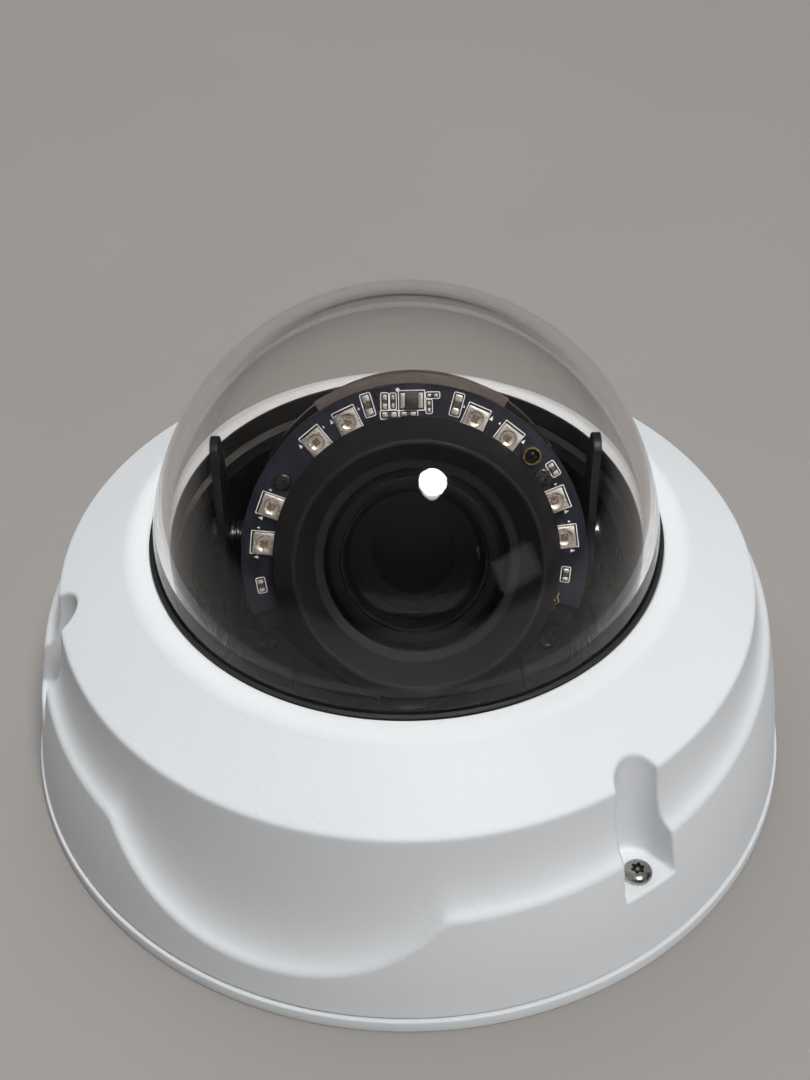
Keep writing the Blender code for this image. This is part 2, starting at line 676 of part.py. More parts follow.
def build_camera_body():
    carrier = revolve("roll_carrier", [
        (CARRIER_R, 4.0), (CARRIER_R, -2.3), (13.2, -2.3), (13.2, 4.0),
    ], "frame_plastic", GIMBAL_STEPS, CAMERA_FRAME)
    for i, angle in enumerate(POST_ANGLES):
        post = rod(
            f"cut_carrier_post_{i + 1}", 2.0, 2.0, 20.2, None,
            module_point(POST_R, angle, 0.0), CUTTERS, 12,
        )
        boolean(carrier, as_cutter(post), "UNION")
    box("sensor_board", (38.0, 38.0, 1.6), (0, 0, -15.2), "board_green", CAMERA_FRAME)
    mount = box("lens_mount", (28.0, 28.0, 11.5), (0, 0, -8.35), "black_plastic", CAMERA_FRAME)
    bore = rod("cut_mount_bore", 12.8, -16.0, 0.0, None, CAMERA_FRAME, CUTTERS, 32)
    boolean(mount, as_cutter(bore))


def build_lens():
    revolve("lens_barrel", [
        (13.5, BEZEL_Z), (15.4, BEZEL_Z), (BEZEL_R, BEZEL_Z - 1.0), (BEZEL_R, 20.4), (12.5, 20.4),
        (12.5, 14.4), (15.4, 14.4), (15.4, 12.4), (12.5, 12.4), (12.5, -11.5), (7.0, -11.5),
        (7.0, 20.0), (13.3, 25.2),
    ], "lens_black", GIMBAL_STEPS, CAMERA_FRAME)
    revolve("front_lens_element", [
        (0.0, 29.3), (7.0, 28.7), (GLASS_R, 26.9), (GLASS_R, 25.5), (0.0, 23.0),
    ], "lens_glass", GIMBAL_STEPS, CAMERA_FRAME)
    for name, z0, z1, angle in (("zoom_ring", 6.6, 12.1, 215.0), ("focus_ring", 14.7, 19.8, 325.0)):
        ring = revolve(name, [
            (15.4, z1), (15.4, z0), (12.8, z0), (12.8, z1),
        ], "black_plastic", GIMBAL_STEPS, CAMERA_FRAME)
        lever = rod(
            f"cut_{name}_lever", 1.4, 14.4, 19.4, None,
            module_point(0.0, angle, (z0 + z1) / 2.0) @ Matrix.Rotation(math.pi / 2, 4, "Y"),
            CUTTERS, 12,
        )
        boolean(ring, as_cutter(lever), "UNION")


def horseshoe(radius_in, radius_out, start, end, count):
    return arc(radius_out, start, end, count) + arc(radius_in, end, start, count)


def build_led_parts():
    back = LED_PLANE - LED_BOARD_T
    start, end = LED_BOARD_END, 180.0 - LED_BOARD_END
    board = plate(
        "led_board", horseshoe(LED_BOARD_IN, LED_BOARD_OUT, start, end, 28),
        back, LED_PLANE, "board_black", CAMERA_FRAME,
    )
    outline = arc(HOLDER_OUT, start - 8.0, 90.0 - HOLDER_TAB_HALF, 9)
    outline += arc(HOLDER_TAB_R, 90.0 - HOLDER_TAB_HALF, 90.0 + HOLDER_TAB_HALF, 8)
    outline += arc(HOLDER_OUT, 90.0 + HOLDER_TAB_HALF, end + 8.0, 9)
    outline += arc(LED_BOARD_IN, end + 8.0, start - 8.0, 28)
    holder = plate(
        "led_holder", outline, 20.5, back - GAP, "black_plastic", CAMERA_FRAME,
    )
    for i, angle in enumerate((31.5, 148.5)):
        frame = module_point(LED_RING_R, angle, 0.0)
        drill = rod(f"cut_led_screw_{i + 1}", 1.0, 21.5, 27.0, None, frame, CUTTERS, 12)
        boolean(board, as_cutter(drill))
        boolean(holder, drill)
        screw(
            f"led_board_screw_{i + 1}", 1.5, 0.8, 0.7, 3.0,
            module_point(LED_RING_R, angle, LED_PLANE + GAP), "dark_steel",
        )
    revolve("ir_shroud", [
        (SHROUD_RIM_R, SHROUD_RIM_Z), (26.4, 28.0), (26.2, 27.5), (25.3, 25.4), (25.3, 21.0),
        (24.2, 21.0), (24.2, 24.6),
        (17.0, 28.2), (18.8, 28.9), (SHROUD_RIM_R - 0.8, SHROUD_RIM_Z),
    ], "black_rubber", STEPS, CAMERA_FRAME)
    number = 0
    for mirror in (1.0, -1.0):
        for angle in LED_ANGLES:
            number += 1
            at = angle if mirror > 0 else 180.0 - angle
            build_led(f"ir_led_{number}", module_point(LED_RING_R, at, LED_PLANE + GAP))
    sensor = module_point(28.6, 40.0, LED_PLANE + GAP)
    revolve("light_sensor", [
        (0.0, 0.6), (1.1, 0.6), (1.1, 1.1), (1.55, 1.1), (1.7, 0.9), (1.7, 0.0), (0.0, 0.0),
    ], "sensor_brass", SMALL_STEPS, sensor)
    box(
        "led_driver_chip", (2.6, 3.0, 0.9), (0, 0, 0.45), "chip_black",
        module_point(29.4, 91.0, LED_PLANE + GAP),
    )


def build_led(name, frame):
    """Square emitter package with a round clear lens on top, one solid."""
    led = box(name, (3.4, 3.4, 0.9), (0, 0, 0.45), "led_white", frame)
    lens = revolve(f"cut_{name}_lens", [
        (0.0, 2.1), (1.1, 1.7), (1.45, 0.9), (1.45, 0.4), (0.0, 0.4),
    ], None, 10, frame, CUTTERS)
    boolean(led, as_cutter(lens), "UNION")


build_base()
build_seals_and_dome()
build_clamp_and_liner()
build_main_board()
build_grommet()
build_cover()
build_pan()
build_tilt()
build_camera_body()
build_lens()
build_led_parts()
build_screws()
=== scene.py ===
"""Looks of the white fixed-dome network camera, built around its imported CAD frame.

Lengths in the shape code are in millimetres and scaled to metres by MM.
Azimuths are in degrees from -Y toward +X, as seen from above.
"""
import math

import bmesh
import bpy
import numpy as np
from mathutils import Matrix, Vector


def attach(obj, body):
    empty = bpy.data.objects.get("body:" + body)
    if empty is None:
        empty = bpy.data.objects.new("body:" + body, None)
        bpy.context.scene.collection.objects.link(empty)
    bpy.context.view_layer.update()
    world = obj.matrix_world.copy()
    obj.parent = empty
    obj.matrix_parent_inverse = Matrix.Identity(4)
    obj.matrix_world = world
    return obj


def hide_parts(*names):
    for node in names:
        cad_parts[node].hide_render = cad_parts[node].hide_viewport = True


MM = 0.001
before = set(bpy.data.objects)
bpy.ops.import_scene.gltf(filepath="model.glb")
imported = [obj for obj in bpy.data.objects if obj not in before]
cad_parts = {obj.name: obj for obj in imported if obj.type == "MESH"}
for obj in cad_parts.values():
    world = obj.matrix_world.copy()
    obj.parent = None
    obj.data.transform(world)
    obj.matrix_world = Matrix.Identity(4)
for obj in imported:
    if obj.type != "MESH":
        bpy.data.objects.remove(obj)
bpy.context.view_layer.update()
IDENTITY = Matrix.Identity(4)
SIDEWAYS = Matrix.Rotation(math.pi / 2, 4, "Y")


def at(x, y, z):
    """A place in millimetres."""
    return Matrix.Translation(Vector((x, y, z)) * MM)


# ---- layout, as the CAD has it: azimuths in degrees, lengths in mm ----
FRONT_AZ = -22.0
SCREW_AZ = (36.0, -80.0, 158.0)
CLAMP_AZ = (-22.0, 98.0, -142.0)
FIX_AZ = (-22.0, 96.0, -140.0)
BOARD_SCREW_AZ = (-55.0, 65.0, -175.0)
PAN_SCREW_AZ = (10.0, 130.0, -110.0)
SCREW_SEAT_R, SCREW_SEAT_Z = 73.0, 20.6
FIX_R, FIX_HOLE_R = 66.8, 2.25
PLATFORM_TOP = 16.6
DOME_R, DOME_WALL = 50.4, 3.0
TILT_X, TILT_Z = 1.4, 54.3
LENS_ELEVATION = 32.0
LENS_ROLL = 0.6
BOARD_TOP = 25.0
LED_RING_R = 27.8
LED_ANGLES = (6.5, 21.0, 51.2, 65.4)
LED_PLACES = [(angle, 1.0) for angle in LED_ANGLES] + [(180.0 - angle, -1.0) for angle in LED_ANGLES]
POST_ANGLES = (31.5, 90.0, 148.5)
LEVERS = {"zoom_ring": (215.0, 9.35), "focus_ring": (325.0, 17.25)}

TILT_FRAME = at(TILT_X, 0.0, TILT_Z) @ Matrix.Rotation(math.radians(90.0 - LENS_ELEVATION), 4, "X")
LENS_FRAME = TILT_FRAME @ Matrix.Rotation(math.radians(LENS_ROLL), 4, "Z")

# ---- fineness ----
ROUND_STEPS = 160
RIM_STEPS = ROUND_STEPS + 32
COVER_AZ_STEPS = 640
COVER_CELL = 0.58
# edges sharper than these angles, in degrees, aren't smoothed
SHARP, SHARP_ROUND = 32.0, 40.0


# ---- materials ----
# bump layers: (scale, distance in mm, strength, detail)
FINE = ((2600.0, 0.02, 0.35, 2.0),)
MOULDED = ((1800.0, 0.025, 0.45, 2.0), (420.0, 0.03, 0.12, 1.0))
TURNED = ((900.0, 0.01, 0.25, 2.0),)


def texture_noise(tree, scale, detail=2.0, stretch=(1.0, 1.0, 1.0), shift=0.0):
    """Noise in the object's own space; scale is in features per metre."""
    coord = tree.nodes.new("ShaderNodeTexCoord")
    mapping = tree.nodes.new("ShaderNodeMapping")
    mapping.inputs["Scale"].default_value = stretch
    mapping.inputs["Location"].default_value = (shift, shift * 0.7, shift * 0.3)
    tree.links.new(coord.outputs["Object"], mapping.inputs["Vector"])
    noise = tree.nodes.new("ShaderNodeTexNoise")
    noise.inputs["Scale"].default_value = scale
    noise.inputs["Detail"].default_value = detail
    tree.links.new(mapping.outputs[0], noise.inputs["Vector"])
    return noise.outputs[0]


def spread(tree, source, low, high, low_at=0.3, high_at=0.7):
    """Maps a texture value onto low..high."""
    node = tree.nodes.new("ShaderNodeMapRange")
    for socket, value in (("From Min", low_at), ("From Max", high_at), ("To Min", low), ("To Max", high)):
        node.inputs[socket].default_value = value
    tree.links.new(source, node.inputs["Value"])
    return node.outputs[0]


def tint(tree, source, dark, light, start=0.3, end=0.7):
    """Maps a texture value onto two colours."""
    ramp = tree.nodes.new("ShaderNodeValToRGB")
    ramp.color_ramp.elements[0].position = start
    ramp.color_ramp.elements[0].color = (*dark, 1.0)
    ramp.color_ramp.elements[1].position = end
    ramp.color_ramp.elements[1].color = (*light, 1.0)
    tree.links.new(source, ramp.inputs[0])
    return ramp.outputs[0]


def add_bump(tree, bsdf, layers):
    """layers: (scale, distance in mm, strength, detail)."""
    last = None
    for scale, distance, strength, detail in layers:
        bump = tree.nodes.new("ShaderNodeBump")
        bump.inputs["Strength"].default_value = strength
        bump.inputs["Distance"].default_value = distance * MM
        tree.links.new(texture_noise(tree, scale, detail, shift=scale * 0.01), bump.inputs["Height"])
        if last is not None:
            tree.links.new(last, bump.inputs["Normal"])
        last = bump.outputs["Normal"]
    tree.links.new(last, bsdf.inputs["Normal"])


def new_material(name):
    mat = bpy.data.materials.new(name)
    mat.use_nodes = True
    return mat, mat.node_tree, mat.node_tree.nodes["Principled BSDF"]


def finish_material(
    name, color, rough, metal=0.0, coat=0.0, vary=0.08, patch=70.0, rough_vary=0.12,
    bumps=FINE, stretch=(1.0, 1.0, 1.0), specular=0.5, coat_rough=0.1,
):
    """Solid material whose colour and gloss drift by vary and rough_vary in patches."""
    mat, tree, bsdf = new_material(name)
    dark = [c * (1.0 - vary) for c in color]
    light = [min(1.0, c * (1.0 + vary)) for c in color]
    base = tint(tree, texture_noise(tree, patch, 4.0, stretch), dark, light)
    tree.links.new(base, bsdf.inputs["Base Color"])
    gloss = texture_noise(tree, patch * 2.3, 3.0, stretch, 3.1)
    tree.links.new(
        spread(tree, gloss, rough * (1.0 - rough_vary), rough * (1.0 + rough_vary)),
        bsdf.inputs["Roughness"],
    )
    bsdf.inputs["Metallic"].default_value = metal
    bsdf.inputs["Coat Weight"].default_value = coat
    bsdf.inputs["Coat Roughness"].default_value = coat_rough
    bsdf.inputs["Specular IOR Level"].default_value = specular
    if bumps:
        add_bump(tree, bsdf, bumps)
    return mat


def powder_coat(name, color):
    """White powder coat: fine orange peel and faint mottling."""
    mat, tree, bsdf = new_material(name)
    soft = tint(
        tree, texture_noise(tree, 28.0, 3.0), [c * 0.975 for c in color], color, 0.35, 0.65,
    )
    tree.links.new(soft, bsdf.inputs["Base Color"])
    tree.links.new(
        spread(tree, texture_noise(tree, 900.0, 2.0, shift=0.4), 0.50, 0.62),
        bsdf.inputs["Roughness"],
    )
    bsdf.inputs["Specular IOR Level"].default_value = 0.4
    add_bump(tree, bsdf, ((1150.0, 0.06, 0.6, 1.0), (3200.0, 0.02, 0.4, 2.0)))
    return mat


def clear_material(name, color, ior, rough, shadow, patch=900.0, specular=0.5):
    """Clear plastic or glass that lets lamps through to what is behind it."""
    mat, tree, bsdf = new_material(name)
    bsdf.inputs["Base Color"].default_value = (*color, 1.0)
    bsdf.inputs["Transmission Weight"].default_value = 1.0
    bsdf.inputs["IOR"].default_value = ior
    bsdf.inputs["Specular IOR Level"].default_value = specular
    tree.links.new(
        spread(tree, texture_noise(tree, patch, 3.0), rough * 0.4, rough * 1.6),
        bsdf.inputs["Roughness"],
    )
    clear = tree.nodes.new("ShaderNodeBsdfTransparent")
    clear.inputs["Color"].default_value = (*shadow, 1.0)
    path = tree.nodes.new("ShaderNodeLightPath")
    mix = tree.nodes.new("ShaderNodeMixShader")
    tree.links.new(path.outputs["Is Shadow Ray"], mix.inputs[0])
    tree.links.new(bsdf.outputs[0], mix.inputs[1])
    tree.links.new(clear.outputs[0], mix.inputs[2])
    tree.links.new(mix.outputs[0], tree.nodes["Material Output"].inputs["Surface"])
    return mat


MAT = {
    "white_shell": powder_coat("shell_powder_coat", (0.80, 0.825, 0.845)),
    "white_base": powder_coat("base_powder_coat", (0.79, 0.815, 0.835)),
    "black_rubber": finish_material("rubber", (0.020, 0.020, 0.021), 0.52, bumps=MOULDED, vary=0.2),
    "clear_dome": clear_material(
        "bubble_plastic", (0.955, 0.935, 0.92), 1.35, 0.004, (0.80, 0.78, 0.76), specular=0.22,
    ),
    "black_plastic": finish_material(
        "liner_plastic", (0.005, 0.005, 0.0055), 0.24, vary=0.2, rough_vary=0.25, specular=0.35,
    ),
    "frame_plastic": finish_material(
        "gimbal_plastic", (0.012, 0.012, 0.013), 0.38, bumps=MOULDED, vary=0.2, specular=0.4,
    ),
    "screw_steel": finish_material(
        "bright_steel", (0.42, 0.40, 0.37), 0.28, metal=1.0, vary=0.12, patch=900.0,
        rough_vary=0.3, bumps=((900.0, 0.004, 0.2, 2.0),),
    ),
    "dark_steel": finish_material(
        "black_steel", (0.13, 0.13, 0.135), 0.28, metal=1.0, vary=0.25, patch=500.0, bumps=TURNED,
    ),
    "board_green": finish_material(
        "green_board", (0.015, 0.10, 0.045), 0.34, coat=0.3, vary=0.25, patch=260.0,
    ),
    "board_black": finish_material(
        "black_board", (0.008, 0.009, 0.017), 0.40, coat=0.12, vary=0.4, specular=0.3, patch=340.0,
        rough_vary=0.3, bumps=((700.0, 0.04, 0.25, 3.0),),
    ),
    "led_white": finish_material(
        "emitter_package", (0.66, 0.63, 0.59), 0.34, metal=0.8, vary=0.16, patch=1500.0,
        rough_vary=0.3,
    ),
    "lens_black": finish_material(
        "anodised_barrel", (0.020, 0.020, 0.022), 0.30, metal=0.4, vary=0.2, patch=600.0,
    ),
    "lens_glass": clear_material(
        "coated_glass", (0.62, 0.60, 0.68), 1.52, 0.004, (0.22, 0.21, 0.25), specular=0.25,
    ),
    "chip_black": finish_material("chip_package", (0.020, 0.020, 0.020), 0.45, vary=0.25),
    "socket_metal": finish_material(
        "plated_sheet", (0.52, 0.51, 0.48), 0.26, metal=1.0, vary=0.12, patch=500.0,
        stretch=(1.0, 6.0, 1.0), bumps=TURNED,
    ),
    "sensor_brass": finish_material(
        "brass_ring", (0.62, 0.47, 0.20), 0.24, metal=1.0, vary=0.2, patch=1500.0,
    ),
    "button_red": finish_material("red_button", (0.50, 0.03, 0.025), 0.38),
}
# finishes of single pieces that differ from their slot's own
SHROUD_RUBBER = finish_material(
    "shroud_rubber", (0.0070, 0.0070, 0.0080), 0.56, bumps=((2200.0, 0.02, 0.3, 2.0),), vary=0.12,
    specular=0.2,
)
BEZEL_METAL = finish_material(
    "bezel_finish", (0.0035, 0.0035, 0.004), 0.46, bumps=((2600.0, 0.015, 0.3, 2.0),), vary=0.12,
    specular=0.1,
)
BAFFLE = finish_material("baffle_black", (0.004, 0.004, 0.0045), 0.55, vary=0.2, specular=0.2)
TRAY = finish_material("tray_plastic", (0.085, 0.066, 0.058), 0.5, bumps=MOULDED, patch=200.0)
# painted shade: near-black finish of the lobed plugs that darken the screw sockets, where shade falls
SOCKET_SHADE = finish_material("socket_painted_shade", (0.018, 0.017, 0.016), 0.6, vary=0.3, specular=0.2)
SILKSCREEN = finish_material("silkscreen_ink", (0.78, 0.79, 0.80), 0.5, patch=900.0)
SOLDER = finish_material("solder", (0.80, 0.78, 0.72), 0.30, metal=0.8, vary=0.15, patch=2500.0)
DIE = finish_material("emitter_die", (0.30, 0.25, 0.23), 0.2, metal=0.6, bumps=(), patch=3000.0)
CERAMIC = finish_material("ceramic_body", (0.075, 0.06, 0.055), 0.35, patch=2500.0)
EMITTER_LENS = clear_material("emitter_lens", (0.98, 0.95, 0.90), 1.5, 0.01, (0.9, 0.88, 0.84), 1500.0)
INNER_GLASS = finish_material(
    "inner_element", (0.004, 0.003, 0.006), 0.06, coat=0.5, coat_rough=0.03, bumps=(), vary=0.3,
    patch=300.0,
)
WIRE = finish_material("lead_wire", (0.42, 0.33, 0.20), 0.35, metal=0.7, patch=900.0)


# ---- mesh helpers ----
def add_object(name, data):
    obj = bpy.data.objects.new(name, data)
    bpy.context.scene.collection.objects.link(obj)
    return obj


def make_piece(name, bm, body, slot, mat=None, replaced=(), sharp=SHARP):
    """A finished piece on a CAD body, standing for the CAD nodes it replaces."""
    bmesh.ops.recalc_face_normals(bm, faces=bm.faces[:])
    mesh = bpy.data.meshes.new(name)
    bm.to_mesh(mesh)
    bm.free()
    mesh.shade_smooth()
    mesh.set_sharp_from_angle(angle=math.radians(sharp))
    obj = add_object(name, mesh)
    mesh.materials.append(mat or MAT[slot])
    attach(obj, body)
    if replaced:
        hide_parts(*replaced)
    return obj


def rounded(points, radius=0.3, seg=3):
    """Closed outline with its corners rounded; a point's third value is its own radius."""
    out = []
    count = len(points)
    for i, point in enumerate(points):
        size = point[2] if len(point) > 2 else radius
        here = Vector(point[:2])
        if size <= 0.0 or abs(here.x) < 1e-6:
            out.append(tuple(here))
            continue
        back = Vector(points[i - 1][:2]) - here
        ahead = Vector(points[(i + 1) % count][:2]) - here
        long_back, long_ahead = back.length, ahead.length
        back.normalize()
        ahead.normalize()
        half = math.acos(max(-1.0, min(1.0, back.dot(ahead)))) / 2.0
        if half > 1.45:
            out.append(tuple(here))
            continue
        reach = min(size / math.tan(half), 0.45 * long_back, 0.45 * long_ahead)
        start, end = here + back * reach, here + ahead * reach
        for k in range(seg + 1):
            t = k / seg
            out.append(tuple(start * (1 - t) ** 2 + here * 2 * t * (1 - t) + end * t * t))
    return out


def rod(radius, low, high):
    """(r, z) profile of a solid cylinder."""
    return [(0.0, low), (radius, low), (radius, high), (0.0, high)]


def arc(radius, start, end, count, cx=0.0, cy=0.0):
    turns = [math.radians(start + (end - start) * i / count) for i in range(count + 1)]
    return [(cx + radius * math.cos(t), cy + radius * math.sin(t)) for t in turns]


def polar(radius, azimuth, z=0.0):
    """Local +X points outward from the pan axis."""
    turn = math.radians(azimuth - 90.0)
    place = at(radius * math.cos(turn), radius * math.sin(turn), z)
    return place @ Matrix.Rotation(turn, 4, "Z")


def on_lens(radius, angle, z):
    """A place on the camera module; local +X points away from the lens axis."""
    turn = math.radians(angle)
    place = at(radius * math.cos(turn), radius * math.sin(turn), z)
    return LENS_FRAME @ place @ Matrix.Rotation(turn, 4, "Z")


def spin(bm, profile, steps, place=IDENTITY):
    """Adds the closed (r, z) profile turned about local Z."""
    rows = []
    for r, z in profile:
        if abs(r) < 1e-6:
            rows.append([bm.verts.new(place @ (Vector((0.0, 0.0, z)) * MM))] * steps)
            continue
        row = []
        for i in range(steps):
            a = 2.0 * math.pi * i / steps
            row.append(bm.verts.new(place @ (Vector((r * math.cos(a), r * math.sin(a), z)) * MM)))
        rows.append(row)
    for j, row in enumerate(rows):
        below = rows[(j + 1) % len(rows)]
        for i in range(steps):
            k = (i + 1) % steps
            corners = []
            for v in (row[i], row[k], below[k], below[i]):
                if v not in corners:
                    corners.append(v)
            if len(corners) > 2:
                bm.faces.new(corners)


def prism(bm, outline, z0, z1, place=IDENTITY, bevel=0.0, seg=2):
    """Adds a solid of one outline, with its rims rounded."""
    low = [bm.verts.new(place @ (Vector((x, y, z0)) * MM)) for x, y in outline]
    top = [bm.verts.new(place @ (Vector((x, y, z1)) * MM)) for x, y in outline]
    faces = [bm.faces.new(low[::-1]), bm.faces.new(top)]
    for i in range(len(outline)):
        k = (i + 1) % len(outline)
        bm.faces.new((low[i], low[k], top[k], top[i]))
    if bevel > 0.0:
        rims = [e for f in faces for e in f.edges]
        bmesh.ops.bevel(
            bm, geom=rims, offset=bevel * MM, segments=seg, profile=0.5, affect="EDGES",
            clamp_overlap=True,
        )


def turned(name, profile, body, slot, mat=None, replaced=(), place=IDENTITY, steps=ROUND_STEPS, sharp=SHARP):
    """A piece turned about local Z."""
    bm = bmesh.new()
    spin(bm, profile, steps, place)
    return make_piece(name, bm, body, slot, mat, replaced, sharp)


def slab(name, outline, z0, z1, place, body, slot, mat=None, replaced=(), bevel=0.0, seg=2):
    """A piece of one outline and even thickness."""
    bm = bmesh.new()
    prism(bm, outline, z0, z1, place, bevel, seg)
    return make_piece(name, bm, body, slot, mat, replaced)


def ring_prism(bm, outer, inner, z0, z1, place):
    """Adds a flat frame between two loops of equal length."""
    loops = []
    for loop, z in ((outer, z1), (inner, z1), (inner, z0), (outer, z0)):
        loops.append([bm.verts.new(place @ (Vector((x, y, z)) * MM)) for x, y in loop])
    for j in range(4):
        a, b = loops[j], loops[(j + 1) % 4]
        for i in range(len(outer)):
            k = (i + 1) % len(outer)
            bm.faces.new((a[i], a[k], b[k], b[i]))


def rectangle(w, h, radius=0.0, seg=3):
    corners = [(w / 2, -h / 2), (w / 2, h / 2), (-w / 2, h / 2), (-w / 2, -h / 2)]
    return rounded(corners, radius, seg) if radius > 0.0 else corners


def frame_mark(bm, w, h, line, z, place, radius):
    """A printed frame on a board."""
    outer = rectangle(w, h, radius)
    inner = rectangle(w - 2 * line, h - 2 * line, max(radius - line, 0.05))
    ring_prism(bm, outer, inner, z, z + INK, place)


def lean(bm, place, start, end, reach):
    """Slides the part above the start height toward local +X, more with height."""
    back = place.inverted()
    for vert in bm.verts:
        here = back @ vert.co
        share = min(max((here.z / MM - start) / (end - start), 0.0), 1.0)
        here.x += reach * MM * math.sqrt(share)
        vert.co = place @ here


def carve(obj, build, operation="DIFFERENCE"):
    """Booleans the shape that build(bm) makes into a piece."""
    bm = bmesh.new()
    build(bm)
    bmesh.ops.recalc_face_normals(bm, faces=bm.faces[:])
    mesh = bpy.data.meshes.new("tool")
    bm.to_mesh(mesh)
    bm.free()
    tool = add_object("tool", mesh)
    mod = obj.modifiers.new("cut", "BOOLEAN")
    mod.operation = operation
    mod.object = tool
    mod.solver = "EXACT"
    bpy.context.view_layer.update()
    depsgraph = bpy.context.evaluated_depsgraph_get()
    result = bpy.data.meshes.new_from_object(obj.evaluated_get(depsgraph))
    obj.modifiers.clear()
    obj.data = result
    bpy.data.objects.remove(tool)
    bpy.data.meshes.remove(mesh)
    result.shade_smooth()
    result.set_sharp_from_angle(angle=math.radians(SHARP))


# ---- the cast cover, as one smooth field meshed in polar cells ----
# heights and radii of the outer wall
WALL_Z = (3.4, 6.0, 10.0, 14.0, 18.0, 22.0, 26.0, 31.0, 35.0, 40.0, 44.8)
WALL_R = (79.3, 79.0, 78.55, 78.05, 77.5, 76.9, 76.2, 75.2, 74.3, 72.95, 70.9)
WALL_CURVE = np.polynomial.Polynomial.fit(WALL_Z, WALL_R, 5)
WALL_SLANT = 0.97
# cone from the dome opening down to the crease, and the flat lip round the opening
LIP_Z = 55.35
CONE_R, CONE_Z, CONE_FALL, CONE_SCALE = 55.6, 55.05, 0.678, 1.208
# the scoop runs from the crease to a ledge that is tilted and dips once
CREASE_R, CREASE_Z = 70.5, 44.8
LEDGE_MEAN, LEDGE_TILT, LEDGE_SOFT = 33.6, 6.15, 0.6
DIP_Z, DIP_SQUARE, DIP_FOURTH = 12.0, 0.0145, 1.1e-5
SCOOP_AZ_STEPS = 720
SCOOP_PER_MM = 10
SCOOP_Z = np.linspace(0.0, 60.0, 60 * SCOOP_PER_MM + 1)
# screw recesses, inside of the shell, and its rims
RECESS_R, RECESS_HALF, RECESS_FLARE, RECESS_FLOOR = 71.5, 5.0, math.radians(12.0), 20.3
COVER_FOOT, SHELL, PILLAR_WALL, PILLAR_FOOT = 3.4, 3.0, 2.5, 6.3
FLANGE_R, FLANGE_Z, OPENING_R = 56.6, 52.2, 51.0


def ledge_height(azimuth):
    """Height of the scoop's lower edge: a tilted ring, dipping at the front."""
    off = (azimuth - FRONT_AZ + 180.0) % 360.0 - 180.0
    plain = LEDGE_MEAN - LEDGE_TILT * np.cos(np.radians(off))
    dip = DIP_Z + DIP_SQUARE * off ** 2 + DIP_FOURTH * off ** 4
    low = np.minimum(plain, dip)
    return low - LEDGE_SOFT * np.log(np.exp((low - plain) / LEDGE_SOFT) + np.exp((low - dip) / LEDGE_SOFT))


def scoop_table():
    """Radius of the concave scoop at each azimuth and height, with its slope factor.

    The scoop's section is a cubic Bezier curve from the crease to the ledge.
    """
    radius = np.empty((SCOOP_AZ_STEPS, SCOOP_Z.size))
    t = np.linspace(0.0, 1.0, 240)
    for i in range(SCOOP_AZ_STEPS):
        ledge = float(ledge_height(np.array(360.0 * i / SCOOP_AZ_STEPS)))
        end_r = float(WALL_CURVE(ledge))
        drop, reach = CREASE_Z - ledge, end_r - CREASE_R
        r = (CREASE_R, CREASE_R + 0.06 * drop, end_r - 0.62 * reach, end_r)
        z = (CREASE_Z, CREASE_Z - 0.66 * drop, ledge + min(0.24 * reach, 0.25 * drop), ledge)
        w = ((1 - t) ** 3, 3 * t * (1 - t) ** 2, 3 * t * t * (1 - t), t ** 3)
        rs = sum(a * b for a, b in zip(w, r))
        zs = sum(a * b for a, b in zip(w, z))
        slope = (r[3] - r[2]) / (z[2] - z[3])
        inside = np.interp(SCOOP_Z, zs[::-1], rs[::-1])
        above = CREASE_R - 0.09 * (SCOOP_Z - CREASE_Z)
        below = end_r + (ledge - SCOOP_Z) * slope
        row = np.where(SCOOP_Z > CREASE_Z, above, inside)
        radius[i] = np.where(SCOOP_Z < ledge, below, row)
    slant = 1.0 / np.sqrt(1.0 + np.gradient(radius, SCOOP_Z, axis=1) ** 2)
    return radius, slant


SCOOP_R, SCOOP_SLANT = scoop_table()


def look_up(table, azimuth, z):
    """Bilinear value of a table over azimuth and height."""
    a = (azimuth % 360.0) * SCOOP_AZ_STEPS / 360.0
    i = np.floor(a).astype(int)
    fa = a - i
    i %= SCOOP_AZ_STEPS
    j = (i + 1) % SCOOP_AZ_STEPS
    b = np.clip(z * SCOOP_PER_MM, 0.0, SCOOP_Z.size - 1.001)
    k = np.floor(b).astype(int)
    fb = b - k
    low = table[i, k] * (1 - fb) + table[i, k + 1] * fb
    high = table[j, k] * (1 - fb) + table[j, k + 1] * fb
    return low * (1 - fa) + high * fa


def smooth_max(a, b, width):
    """Greater of two fields, blended where they differ by less than the width."""
    h = np.maximum(width - np.abs(a - b), 0.0) / width
    return np.maximum(a, b) + h * h * width * 0.25


def recess_field(r, azimuth):
    """Negative inside any of the three screw recesses, which widen outward."""
    best = None
    for centre in SCREW_AZ:
        turn = np.radians(azimuth - centre)
        u = r * np.cos(turn) - RECESS_R
        v = np.abs(r * np.sin(turn))
        back = np.sqrt(u * u + v * v) - RECESS_HALF
        side = (v - RECESS_HALF - u * math.tan(RECESS_FLARE)) * math.cos(RECESS_FLARE)
        plan = np.where(u < 0.0, back, side)
        plan = np.where(np.cos(turn) < 0.0, 50.0, plan)
        best = plan if best is None else np.minimum(best, plan)
    return best


